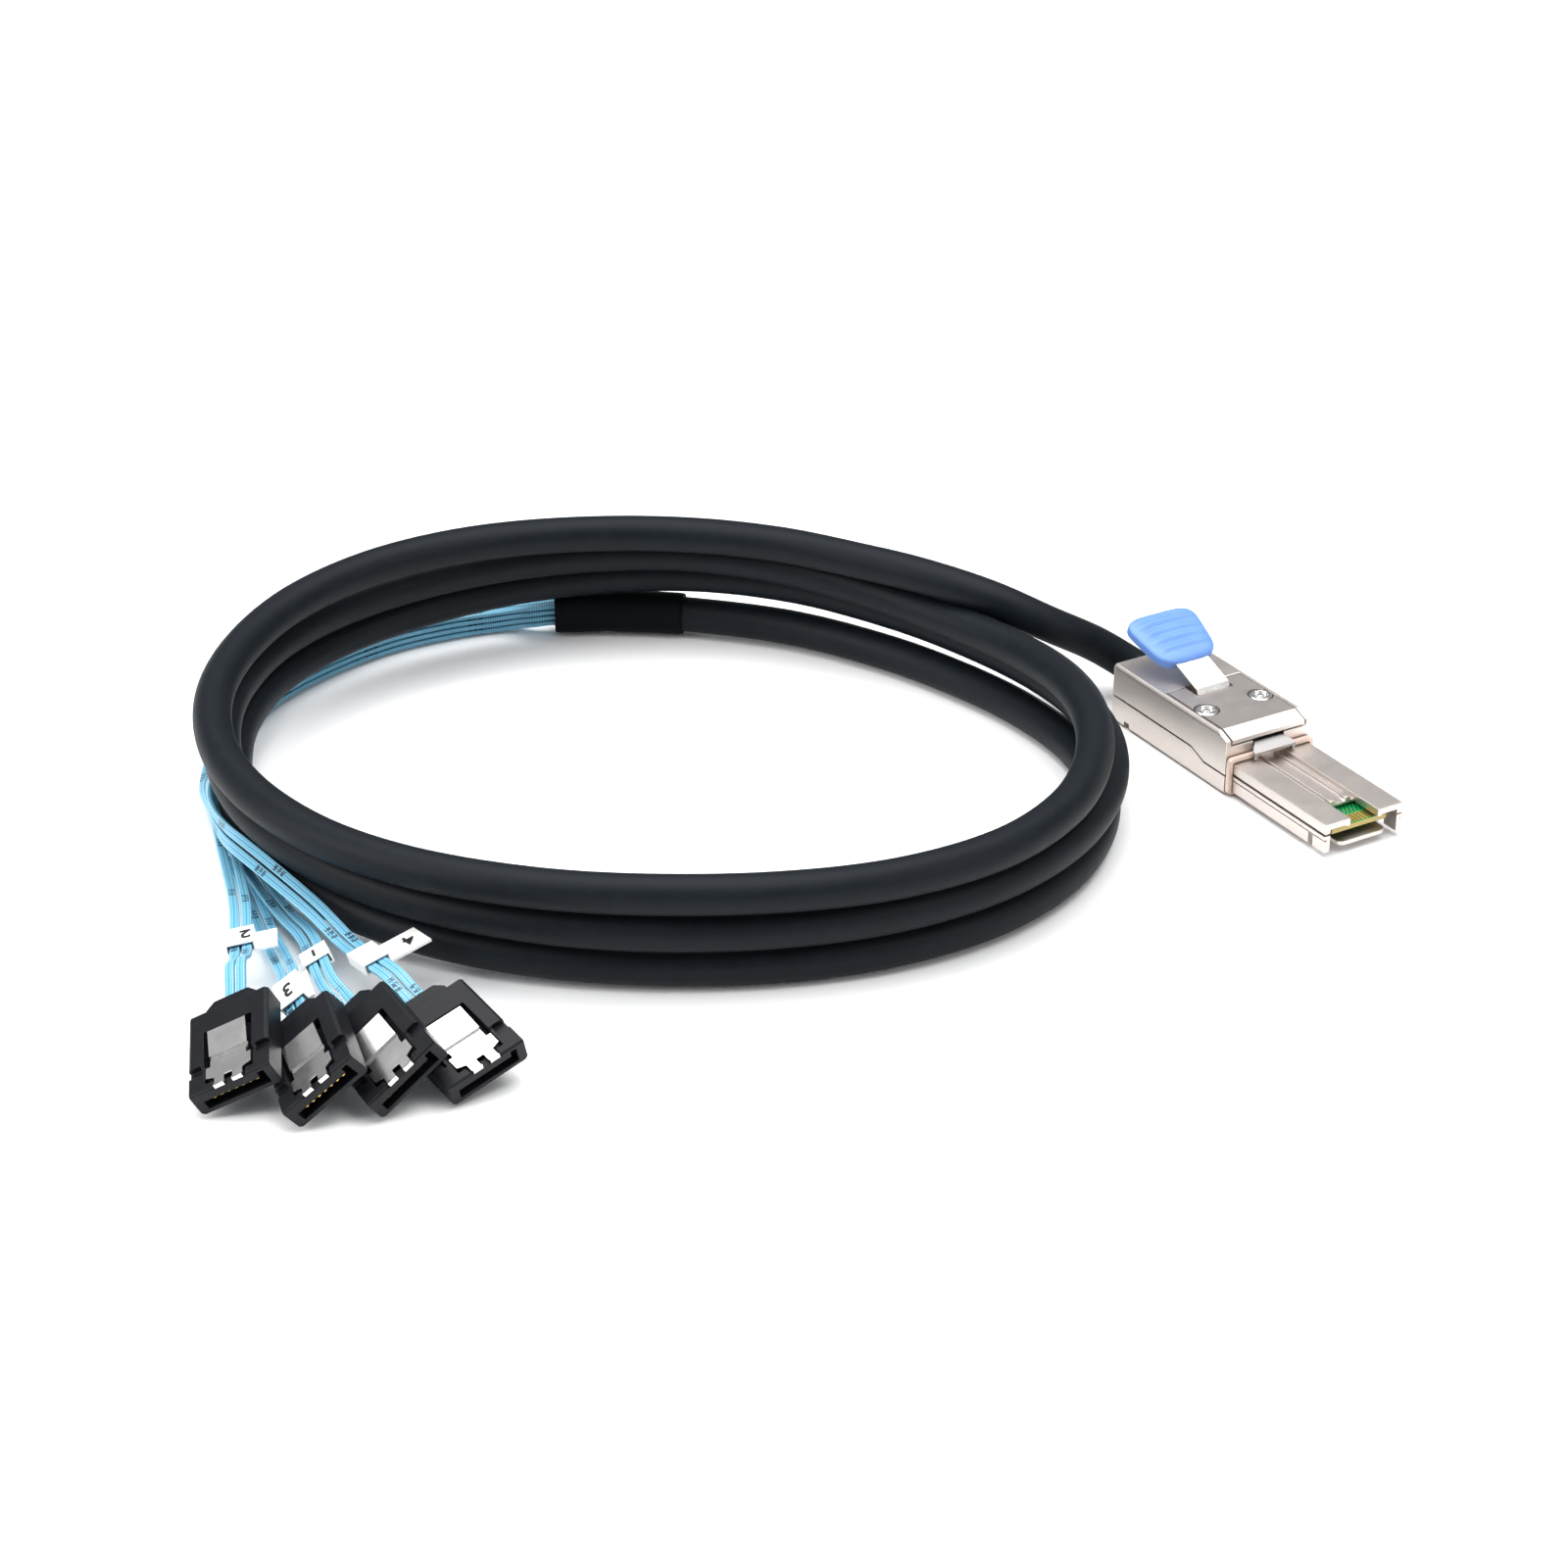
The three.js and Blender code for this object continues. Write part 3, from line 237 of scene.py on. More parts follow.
# %% [markdown]
# Every soft or rounded piece here is a surface worked out as arrays. A grid of points has
# one row for each ring and one column for each point round it. The same function turns
# any such grid into a mesh, closes its ends, and stores how far along (in millimetres)
# and how far round (from 0 to 1) each point is, so that a pattern can follow the piece.

# %% Grids of points into meshes


def piece_from(name, points, faces, uv=None):
    """A mesh object at the origin from an array of points and a list of faces."""
    mesh = bpy.data.meshes.new(name)
    mesh.from_pydata(points.tolist(), [], faces)
    mesh.polygons.foreach_set("use_smooth", np.ones(len(mesh.polygons), bool))
    if uv is not None:
        layer = mesh.uv_layers.new(name="UVMap")
        layer.data.foreach_set("uv", np.asarray(uv, np.float32).ravel())
    mesh.validate()
    thing = bpy.data.objects.new(name, mesh)
    scene.collection.objects.link(thing)
    return thing


def ring_surface(name, grid, along):
    """A closed tube from grid[ring, point, xyz]: each ring is joined to the next, and the
    two end rings are closed by a fan to their middle."""
    rings, sides = grid.shape[:2]
    row = np.arange(rings - 1)[:, None] * sides
    here = np.arange(sides)[None, :]
    after = (here + 1) % sides
    quads = np.stack([row + here, row + after, row + sides + after, row + sides + here], -1)
    quads = quads.reshape(-1, 4)
    v0 = np.broadcast_to(here / sides, (rings - 1, sides))
    v1 = v0 + 1 / sides
    u0 = np.broadcast_to(along[:-1, None], (rings - 1, sides))
    u1 = np.broadcast_to(along[1:, None], (rings - 1, sides))
    uv = np.stack([np.stack([u0, v0], -1), np.stack([u0, v1], -1),
                   np.stack([u1, v1], -1), np.stack([u1, v0], -1)], 2).reshape(-1, 2)
    points = np.concatenate([grid.reshape(-1, 3), [grid[0].mean(0)], [grid[-1].mean(0)]])
    first, last = rings * sides, rings * sides + 1
    end = (rings - 1) * sides
    count = np.arange(sides)
    start_fan = np.stack([np.full(sides, first), (count + 1) % sides, count], -1)
    end_fan = np.stack([np.full(sides, last), end + count, end + (count + 1) % sides], -1)
    fan_uv = np.zeros((sides * 3, 2))
    end_uv = np.tile([along[-1], 0.0], (sides * 3, 1))
    faces = quads.tolist() + start_fan.tolist() + end_fan.tolist()
    return piece_from(name, points, faces, np.concatenate([uv, fan_uv, end_uv]))


def unit(vectors):
    return vectors / np.linalg.norm(vectors, axis=-1, keepdims=True)


def smooth_line(points, per_gap):
    """A curve through every point: between two of them it is the cubic whose slope at each
    is half the step from the point before to the point after."""
    points = np.asarray(points, float)
    ends = np.vstack([2 * points[0] - points[1], points, 2 * points[-1] - points[-2]])
    t = np.linspace(0, 1, per_gap, endpoint=False)[None, :, None]
    a, b, c, d = (ends[i:i + len(points) - 1][:, None, :] for i in range(4))
    spans = 0.5 * (2 * b + (c - a) * t + (2 * a - 5 * b + 4 * c - d) * t ** 2
                   + (3 * b - a - 3 * c + d) * t ** 3)
    return np.vstack([spans.reshape(-1, points.shape[1]), points[-1:]])


def distance_along(line):
    steps = np.linalg.norm(np.diff(line, axis=0), axis=1)
    return np.concatenate([[0], np.cumsum(steps)])


def sweep(name, line, uppers, section):
    """A section carried along a line. section(s) gives, for the distance s of each ring, an
    array [ring, point, (side, up)]; side is up crossed with the line's direction."""
    ahead = unit(np.gradient(line, axis=0))
    side = unit(np.cross(uppers, ahead))
    up = np.cross(ahead, side)
    along = distance_along(line)
    flat = section(along)
    grid = line[:, None, :] + flat[..., :1] * side[:, None, :] + flat[..., 1:] * up[:, None, :]
    return ring_surface(name, grid * MM, along)


def circle(sides):
    """Points of a unit circle, from the side towards the top."""
    turn = 2 * np.pi * np.arange(sides) / sides
    return np.stack([np.cos(turn), np.sin(turn)], -1)


def finish_piece(piece, body, material, slot, *replaced):
    piece.data.materials.clear()
    piece.data.materials.append(material)
    if replaced:
        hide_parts(*replaced)
    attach(piece, body)
    return piece


# %% [markdown]
# The round cable is a long rubbery tube. It leaves the plug straight, climbs onto the
# coil, and then goes round by the back, left, front and right. A true ring would look
# machine made: a hand-wound coil is an oval whose every turn is a little wider or
# narrower, higher or lower. So the route is an oval with two short lists, one of how much
# each eighth of a turn is stretched and one of how high it lies, read as smooth curves.

# %% The cable's route
STAND = np.array([2.03, -23.3, 0.0])
COIL_MIDDLE = np.array([-21.0, -9.0]) - STAND[:2]
COIL_HALF = np.array([80.0, 66.0])
LIST_START = 45.0
LIST_STEP = 45.0
STRETCH = np.array([
    0.941, 0.977, 1.011, 1.012, 1.014, 1.008, 1.029, 0.952, 0.958, 1.045, 1.082, 1.004, 0.978,
    0.984, 1.008, 0.997, 1.022, 1.115, 1.115, 0.985, 0.966, 0.946, 0.994, 0.98, 0.971, 1.112,
    1.268])
LIFT = np.array([
    22.9, 25.6, 26.5, 22.95, 20.2, 19.7, 18.3, 18.5, 15.8, 19.5, 17.6, 15.75, 12.8, 11.9, 10.9,
    11.0, 10.3, 13.0, 9.9, 8.6, 5.5, 3.9, 3.6, 3.6, 3.55, 4.4, 4.4])


def read_list(values, place):
    """A smooth curve through a list of values, read at fractional places in it."""
    ends = np.concatenate([[2 * values[0] - values[1]], values, [2 * values[-1] - values[-2]]])
    i = np.clip(np.floor(place).astype(int), 0, len(values) - 2)
    t = place - i
    a, b, c, d = (ends[i + k] for k in range(4))
    return 0.5 * (2 * b + (c - a) * t + (2 * a - 5 * b + 4 * c - d) * t ** 2
                  + (3 * b - a - 3 * c + d) * t ** 3)


def coil_point(angle):
    """Middle of the cable at an angle in degrees, counted on through all the turns."""
    angle = np.atleast_1d(np.asarray(angle, float))
    place = (angle - LIST_START) / LIST_STEP
    turn = np.radians(angle)
    reach = read_list(STRETCH, place)[:, None] * COIL_HALF
    flat = COIL_MIDDLE + reach * np.stack([np.cos(turn), np.sin(turn)], -1)
    return np.column_stack([flat, read_list(LIFT, place)])


PLUG_PLACE = np.array([88.9, 0.7, 0.0]) - STAND
PLUG_YAW = math.radians(30.6)
PLUG_AHEAD = np.array([math.sin(PLUG_YAW), -math.cos(PLUG_YAW), 0.0])
PLUG_LEFT = np.array([math.cos(PLUG_YAW), math.sin(PLUG_YAW), 0.0])
PLUG_LENGTH = 35.4
CABLE_THICK = 7.0
EXIT_HEIGHT = 6.0
INSIDE_PLUG = 7.5
STRAIGHT_OUT = 6.0
COIL_FROM = 60
CABLE_END = 1178
ROUTE_STEP = 15
CABLE_PER_GAP = 12


def behind_plug(distance):
    """Middle of the cable, straight behind the plug."""
    point = PLUG_PLACE - PLUG_AHEAD * (PLUG_LENGTH + distance)
    return point + [0, 0, EXIT_HEIGHT]


climb = np.array([[60.0, 37.3, 10.6], [50.5, 35.2, 16.0], [39.7, 36.5, 20.6], [28.0, 40.6, 23.0]])
lead = np.vstack([behind_plug(-INSIDE_PLUG), behind_plug(0), behind_plug(STRAIGHT_OUT),
                  climb - STAND])
turns = coil_point(np.append(np.arange(COIL_FROM, CABLE_END, ROUTE_STEP), CABLE_END))
cable_line = smooth_line(np.vstack([lead, turns]), CABLE_PER_GAP)

# %% [markdown]
# The jacket is swept along that route as a round section. The wires inside are laid in a
# slow twist, and a real jacket shows it as a swell too faint to see until light grazes
# it, so the radius rises and falls by a few hundredths of a millimetre in a spiral.

# %% The cable
CABLE_SIDES = 40
CABLE_SWELL = 0.03
SWELLS_ROUND = 3
TWIST_PITCH = 46.0


def jacket_section(along):
    """Radius times a circle: half the thickness, plus a swell that winds round with the
    distance, so its crest is a spiral."""
    turn = 2 * np.pi * np.arange(CABLE_SIDES) / CABLE_SIDES
    wave = np.sin(SWELLS_ROUND * turn[None, :] + 2 * np.pi * along[:, None] / TWIST_PITCH)
    radius = CABLE_THICK / 2 - CABLE_SWELL + CABLE_SWELL * wave
    return radius[..., None] * circle(CABLE_SIDES)[None]


UPRIGHT = np.array([0.0, 0.0, 1.0])
cable = sweep("jacket", cable_line, np.tile(UPRIGHT, (len(cable_line), 1)), jacket_section)

jacket = Finish("cable_jacket", linear("10151a"), 0.5, **{"Specular IOR Level": 0.14})
grain = jacket.noise(9.0, 4.0, 0.6)
cloud = jacket.noise(0.35, 2.0)
jacket.color(jacket.blend(cloud, linear("0b1014"), linear("141a20")))
jacket.roughness(0.42 + 0.12 * cloud + 0.06 * grain)
jacket.bump(grain, 0.02, 0.5)
finish_piece(cable, "cable", jacket.material, "jacket", "main_cable")

# %% [markdown]
# Where the round cable ends, a tube of shrink plastic holds the eight ribbons to it. Hot
# air draws it down onto what is inside: it is round over the cable, sinks a little past
# the cable's end, and swells again, squarer, over the stack of ribbons. Its surface is
# duller than the jacket and faintly wrinkled.

# %% The shrunk sleeve
SLEEVE_FROM = 1169.4
SLEEVE_TO = 1185.5
SLEEVE_RINGS = 60
SLEEVE_SIDES = 48
SLEEVE_RADIUS = 4.18
DIP_DEPTH = 0.16
DIP_SHARE = 0.06
LIPS = (0.12, 0.1)
LIP_SHARE = 0.02
BOX_SHARE = 0.3
BOX_POWER = 0.22
BOX_SLIM = np.array([0.9, 0.97])
WRINKLE = 0.03
sleeve_line = coil_point(np.linspace(SLEEVE_FROM, SLEEVE_TO, SLEEVE_RINGS))


def sleeve_section(along):
    """Radius times a circle that turns into a rounded box over the ribbons: the radius is
    that of the cable plus a wall, minus a bell-shaped dip just past the cable's end and
    one at each lip. Raising cosine and sine to a power below 1 makes the circle boxy."""
    share = along / along[-1]
    edge = (CABLE_END - SLEEVE_FROM) / (SLEEVE_TO - SLEEVE_FROM)
    dip = DIP_DEPTH * np.exp(-((share - edge - DIP_SHARE) / DIP_SHARE) ** 2)
    lips = sum(lip * np.exp(-(gap / LIP_SHARE) ** 2) for lip, gap in zip(LIPS, (share, 1 - share)))
    boxy = np.clip((share - edge) / BOX_SHARE, 0, 1)[:, None]
    turn = 2 * np.pi * np.arange(SLEEVE_SIDES) / SLEEVE_SIDES
    wrinkle = WRINKLE * np.sin(9 * turn[None] + 30 * share[:, None]) * boxy
    radius = (SLEEVE_RADIUS - dip - lips)[:, None] + wrinkle
    ring = circle(SLEEVE_SIDES)[None]
    round_box = np.sign(ring) * np.abs(ring) ** (1 - BOX_POWER * boxy[..., None])
    slim = 1 - (1 - BOX_SLIM) * boxy[..., None]
    return radius[..., None] * round_box * slim


sleeve = sweep("shrink_sleeve", sleeve_line, np.tile(UPRIGHT, (SLEEVE_RINGS, 1)),
               sleeve_section)
shrink = Finish("shrink_plastic", linear("070a0c"), 0.6, **{"Specular IOR Level": 0.06})
shrink_grain = shrink.noise(5.0, 4.0)
shrink.color(shrink.blend(shrink_grain, linear("05080a"), linear("0b0e11")))
shrink.roughness(0.5 + 0.2 * shrink_grain)
shrink.bump(shrink_grain, 0.05, 0.6)
finish_piece(sleeve, "cable", shrink.material, "shrink_sleeve", "breakout_sleeve")

# %% [markdown]
# Each ribbon is two fine wires side by side under a thin printed wrap, flat and springy.
# Two ribbons run side by side to each connector, and the four pairs lie stacked until
# they leave the coil. A pair's route is one list of points, with a direction for its
# upper face at each, so the ribbons can lean against the coil and twist into the
# connectors without rolling over.

# %% Where the connectors lie
RIBBON_WIDE = 1.7
RIBBON_THICK = 0.9
RIBBON_GAP = 0.35
ROW_STEP = 1.2
CLAMP_REAR = 20.5
END_LENGTH = 17.6
ENTRY_HEIGHT = 2.3
CLEAR = 0.3

# Each connector has its row in the stack, the place and turn of its mouth, and the points
# of its ribbons' way out from the coil.
bundle = [[-57, 66.2], [-68, 62.3], [-79, 55.9], [-89, 46.5],
          [-97.8, 34.5], [-103, 22.2], [-105, 9.7]]
ends = {
    "a": {"row": 2, "at": (-84.4, -111.6, 3.75), "yaw": 7, "pitch": 11, "roll": 26.5,
          "fan": [[-104, -2.9, 3.2], [-102.1, -13.6, 3.2], [-99.2, -26.4, 3.2],
                  [-95.7, -40.6, 4.1], [-92.6, -54.6, 6.4], [-90.9, -64.8, 7.5],
                  [-89.2, -76.7, 8.9]]},
    "b": {"row": 0, "at": (-69.7, -114, 5.1), "yaw": 18, "pitch": 5.3, "roll": 39.5,
          "fan": [[-103.6, -7.2, 0.75], [-99.6, -21.8, 0.75], [-94.9, -35.8, 0.8],
                  [-90.3, -49.3, 0.9], [-86.9, -60.3, 2.3], [-81.8, -77.2, 6.4]]},
    "c": {"row": 1, "at": (-57.5, -109.9, 4.8), "yaw": 32, "pitch": 6.6, "roll": 37,
          "fan": [[-103.7, -7.8, 1.95], [-101, -17.3, 1.95], [-97.2, -27.8, 1.95],
                  [-92.3, -37.6, 2], [-88.2, -46.5, 2.2], [-84.2, -55.1, 3.3],
                  [-79.9, -64.3, 4.9]]},
    "d": {"row": 3, "at": (-46.2, -104.8, 2.4), "yaw": 37.8, "pitch": 9.3, "roll": 16.4,
          "fan": [[-104.8, -2.3, 4.5, 10], [-104.5, -11.3, 5.6, 50], [-102.6, -19.8, 6.4, 88],
                  [-100.3, -27.3, 7.1, 85], [-97.5, -34.1, 8.1, 65], [-93.9, -40.9, 9.3, 50],
                  [-88.3, -48.9, 9.5, 40], [-79.4, -60.1, 8.4, 20], [-71.9, -70.5, 7.1, 5]]},
}


class Frame:
    """A turned set of axes: forward, across and up, at a place, all in millimetres."""

    def __init__(self, place, forward, across, up):
        self.place = np.asarray(place, float)
        self.axes = np.array([forward, across, up], float)

    def point(self, local):
        """The place of a point given as forward, across and up."""
        return self.place + np.asarray(local, float) @ self.axes


def end_frame(end):
    """Forward is turned by yaw and tipped down by pitch; across is then rolled about it."""
    yaw, pitch, roll = (math.radians(end[key]) for key in ("yaw", "pitch", "roll"))
    forward = np.array([math.sin(yaw) * math.cos(pitch), -math.cos(yaw) * math.cos(pitch),
                        -math.sin(pitch)])
    level = np.array([math.cos(yaw), math.sin(yaw), 0.0])
    risen = np.cross(forward, level)
    across = level * math.cos(roll) + risen * math.sin(roll)
    return Frame(end["at"] - STAND, forward, across, np.cross(forward, across))


plug_frame = Frame(PLUG_PLACE, PLUG_AHEAD, PLUG_LEFT, UPRIGHT)
end_frames = {key: end_frame(end) for key, end in ends.items()}

# %% Ribbon routes
INSIDE_SLEEVE = 1180.4
MOUTH_RUN = 4.0
MOUTH_DROP = 0.4
ENTRY_STEPS = (-9, -3.5, 0.5)
TURN_STARTS, TURN_ENDS = 7, 3
PER_GAP = 14


def ease(i, low, high):
    """0 before low, 1 after high, and a smooth step between."""
    t = np.clip((i - low) / (high - low), 0, 1)
    return t * t * (3 - 2 * t)


def slopes(points):
    """Unit step from the point before each point to the point after it."""
    wide = np.vstack([2 * points[0] - points[1], points, 2 * points[-1] - points[-2]])
    return unit(wide[2:] - wide[:-2])


def pair_route(key):
    """Points and upper directions along the middle of one pair: out of the sleeve in its
    own row, along the bundle, out over the fan, and into the connector. A fan point's
    fourth number tilts the upper side from straight up towards straight outward."""
    end = ends[key]
    rise = np.array([0, 0, (end["row"] - 1.5) * ROW_STEP])
    inside, mouth = coil_point([INSIDE_SLEEVE, SLEEVE_TO])
    heading = unit(mouth - inside)
    lay = RIBBON_THICK / 2 + CLEAR + end["row"] * ROW_STEP
    points = [inside + rise, mouth + rise,
              mouth + MOUTH_RUN * heading + rise - [0, 0, MOUTH_DROP]]
    points += [np.array([x, y, lay]) - STAND for x, y in bundle]
    first_fan = len(points)
    points += [np.array(p[:3], float) - STAND for p in end["fan"]]
    tilts = [0] * first_fan + [(*p, 0)[3] for p in end["fan"]] + [0] * 4
    own = end_frames[key]
    for x in [-CLAMP_REAR + step for step in ENTRY_STEPS] + [-END_LENGTH + CLEAR]:
        points.append(own.point([x, 0, ENTRY_HEIGHT]))
    points = np.array(points)
    tilt = np.radians(tilts)[:, None]
    outward = unit(np.cross(slopes(points), UPRIGHT))
    uppers = UPRIGHT * np.cos(tilt) + outward * np.sin(tilt)
    i = np.arange(len(points))[:, None]
    ending = ease(i, len(points) - TURN_STARTS, len(points) - TURN_ENDS)
    uppers = unit(uppers + (own.axes[2] - uppers) * ending)
    return points, uppers, first_fan


routes = {key: pair_route(key) for key in ends}
ribbon_lines = {}
shift = (RIBBON_WIDE + RIBBON_GAP) / 2
for key, (points, uppers, _) in routes.items():
    across = unit(np.cross(uppers, slopes(points)))
    fine_uppers = unit(smooth_line(uppers, PER_GAP))
    for word, sign in (("left", -1), ("right", 1)):
        line = smooth_line(points + sign * shift * across, PER_GAP)
        ribbon_lines[key, word] = (line, fine_uppers)
lengths = {name: round(distance_along(line)[-1]) for name, (line, _) in ribbon_lines.items()}
print("ribbon lengths in mm:", lengths)

# %% [markdown]
# A ribbon's section is a flat oval with nearly square shoulders, a superellipse, with a
# shallow groove along the middle where the wrap sinks between its two wires. The wrap is
# a wound foil seen through clear blue plastic. So the pattern is two sets of fine
# slanting lines that cross, pale on blue, and a short dark dash is printed every so
# often. Painted shade darkens the blue along both edges and along the groove down each
# face. The pattern is read from how far along and round each point is.

# %% Ribbons
RIBBON_SIDES = 28
SHOULDER_POWER = 0.55
GROOVE_DEPTH = 0.07
GROOVE_WIDTH = 0.22
WEAVE_ALONG = 6.6
WEAVE_ROUND = 25.0
PRINT_EVERY = 23.0
PRINT_LENGTH = 3.4
DASH_EVERY = 1.15
DASH_GAP = 0.38
PRINT_HALF = 0.085


def ribbon_section(along):
    """A superellipse: cosine and sine raised to a power near a half keep a flat top, and a
    narrow bell-shaped dip runs along the middle of both faces."""
    ring = circle(RIBBON_SIDES)
    shape = np.sign(ring) * np.abs(ring) ** SHOULDER_POWER
    shape = shape * [RIBBON_WIDE / 2, RIBBON_THICK / 2]
    dip = GROOVE_DEPTH * np.exp(-(shape[:, 0] / GROOVE_WIDTH) ** 2)
    shape[:, 1] -= np.sign(shape[:, 1]) * dip
    return np.broadcast_to(shape, (len(along), RIBBON_SIDES, 2))


wrap = Finish("ribbon_wrap", linear("8cc6dd"), 0.36)
uv = wrap.node("ShaderNodeUVMap", {"uv_map": "UVMap"}, output="UV")
along_mm, round_share, _ = wrap.split(uv)
warp = wrap.noise(0.8, 2.0)
run = along_mm * WEAVE_ALONG + warp * 1.5
turn = round_share * WEAVE_ROUND
weave = (run + turn).sine() * (run - turn).sine() * 0.5 + 0.5
# Painted shade: the blue is darkened along both edges and along the groove down each face.
edge_and_groove_shade = wrap.ramp((round_share * (4 * math.pi)).sine().size(), 0.0, 0.35)
blue = wrap.blend(weave, linear("2a7fa3"), linear("a2dcf0"))
blue = wrap.blend(edge_and_groove_shade, linear("3c86ab"), blue)
mark = (along_mm % PRINT_EVERY < PRINT_LENGTH) * (along_mm % DASH_EVERY > DASH_GAP)
face = (round_share % 0.5 - 0.25).size() < PRINT_HALF
broken = wrap.noise(3.0, 2.0) > 0.43
wrap.color(wrap.blend(mark * face * broken, blue, linear("2a4250")))
wrap.roughness(0.3 + 0.16 * weave)
wrap.bump(weave, 0.02, 0.6)

ribbon_pieces = {}
for (key, word), (line, fine_uppers) in ribbon_lines.items():
    name = f"ribbon_{key}_{word}"
    ribbon = sweep(f"wrap_{key}_{word}", line, fine_uppers, ribbon_section)
    finish_piece(ribbon, "cable", wrap.material, "ribbon_blue", name)
    ribbon_pieces[key, word] = ribbon

# %% [markdown]
# The hard pieces keep the exact solids they have, and gain what a real piece has: edges
# that are a little round. A sharp model edge reflects nothing, while a rounded one
# catches a thin bright line, which is most of what makes metal and plastic look solid.
# Each solid is copied, its flat triangles are joined into whole faces, and a small bevel
# is put along its sharp edges. Every point also keeps its place in the piece's own axes,
# so that fingers and fine lines can follow the piece.

# %% Rounded copies of solids
SHARP = math.radians(18.5)
FLAT = math.radians(1)
SAME_POINT = 2e-6
BIG_FACES_FIRST = 80


def rounded(node, body, slot, material, own, bevel, segments=2):
    """A joined and bevelled copy of a solid, which stands in for it. The attribute local
    is (point - place) times the axes of its own frame, in millimetres."""
    source = nodes[node]
    shape = bmesh.new()
    shape.from_mesh(source.data)
    shape.transform(source.matrix_world)
    bmesh.ops.remove_doubles(shape, verts=shape.verts, dist=SAME_POINT)
    bmesh.ops.dissolve_limit(shape, angle_limit=FLAT, verts=shape.verts, edges=shape.edges)
    mesh = bpy.data.meshes.new(f"{node}_finished")
    shape.to_mesh(mesh)
    shape.free()
    mesh.polygons.foreach_set("use_smooth", np.ones(len(mesh.polygons), bool))
    points = np.empty(len(mesh.vertices) * 3)
    mesh.vertices.foreach_get("co", points)
    local = (points.reshape(-1, 3) / MM - own.place) @ own.axes.T
    layer = mesh.attributes.new("local", "FLOAT_VECTOR", "POINT")
    layer.data.foreach_set("vector", local.astype(np.float32).ravel())
    piece = bpy.data.objects.new(mesh.name, mesh)
    scene.collection.objects.link(piece)
    edge = piece.modifiers.new("rounded_edges", "BEVEL")
    edge.width = bevel * MM
    edge.segments = segments
    edge.limit_method = "ANGLE"
    edge.angle_limit = SHARP
    lean = piece.modifiers.new("flat_faces_stay_flat", "WEIGHTED_NORMAL")
    lean.mode = "FACE_AREA"
    lean.weight = BIG_FACES_FIRST
    return finish_piece(piece, body, material, slot, node)


def local_place(finish):
    """The local attribute, split into how far forward, across and up."""
    spot = finish.node("ShaderNodeAttribute", {"attribute_name": "local"}, output="Vector")
    return finish.split(spot)


# %% [markdown]
# The plug's shells are cast zinc with satin nickel on top. Casting leaves a fine orange
# peel and plating keeps it, so the surface is a warm grey mirror broken up by tiny dents:
# a speckle finer than a millimetre, over slow cloudy changes in how dull it is. The cover
# plate and strap are pressed from sheet, so they are smoother and brighter.

# %% Metal finishes


def metal(name, color, rough, grain_size, depth, spread):
    """A plated metal: grain from noise with grain_size features to the millimetre."""
    made = Finish(name, linear(color), rough, 1.0)
    speck = made.noise(grain_size, 3.0, 0.7)
    haze = made.noise(0.25, 2.0)
    dark = tuple(c * (1 - spread) for c in linear(color))
    light = tuple(min(1.0, c * (1 + spread)) for c in linear(color))
    made.color(made.blend(speck, dark, light))
    made.roughness(rough - 0.06 + 0.12 * haze + 0.08 * speck)
    made.bump(speck, depth, 0.6)
    return made.material


nickel = metal("satin_nickel", "d9d1cb", 0.34, 4.2, 0.06, 0.2)
sheet = metal("sheet_nickel", "d4cdc8", 0.32, 4.5, 0.05, 0.17)
bright = metal("bright_steel", "e4e2df", 0.16, 1.2, 0.006, 0.05)
dull_steel = metal("lever_steel", "a9a6a5", 0.34, 2.2, 0.015, 0.1)
sprung = metal("spring_steel", "eeeceb", 0.2, 0.8, 0.004, 0.04)

rounded("plug_lower_shell", "cable", "nickel", nickel, plug_frame, 0.14)
rounded("plug_upper_shell", "cable", "nickel", nickel, plug_frame, 0.14)
rounded("plug_cover_plate", "cable", "nickel", sheet, plug_frame, 0.1)
rounded("cover_boss_left", "cable", "bright_steel", bright, plug_frame, 0.08)
rounded("cover_boss_right", "cable", "bright_steel", bright, plug_frame, 0.08)
rounded("latch_lever", "lever", "dark_steel", dull_steel, plug_frame, 0.08)
rounded("release_strap", "pull", "bright_steel", bright, plug_frame, 0.1)
rounded("crimp_ring", "cable", "dark_steel", dull_steel, plug_frame, 0.1)

# %% [markdown]
# A copper pink gasket of conductive cloth over foam runs round the body behind the nose.
# Its weave is two crossed waves about half a millimetre apart.

# %% Gasket, wire block
THREAD_TURN = 14.0
cloth = Finish("gasket_cloth", linear("e3c3ae"), 0.5, 0.35)
_, across, up = local_place(cloth)
threads = ((across * THREAD_TURN).sine() * (up * THREAD_TURN).sine()) * 0.5 + 0.5
cloth.color(cloth.blend(threads, linear("d2b39f"), linear("efe0d6")))
cloth.roughness(0.42 + 0.16 * threads)
cloth.bump(threads, 0.03, 0.6)
rounded("emi_gasket", "cable", "gasket", cloth.material, plug_frame, 0.12, 3)

resin = Finish("wire_potting", linear("e9e6dc"), 0.4)
resin_cloud = resin.noise(0.8, 3.0)
resin.color(resin.blend(resin_cloud, linear("dcd8cb"), linear("f2efe7")))
resin.roughness(0.34 + 0.12 * resin_cloud)
resin.bump(resin_cloud, 0.08, 0.4)
rounded("wire_block", "cable", "potting", resin.material, plug_frame, 0.3, 3)

# %% [markdown]
# The card inside the nose is a printed board: green mask over copper, with a comb of
# gold fingers at its front edge. The fingers are bars at a fixed pitch across the card,
# and behind each one a slanting trace runs back under the mask as a darker line. The cut
# edge of the board is bare glass fibre, paler and yellow.

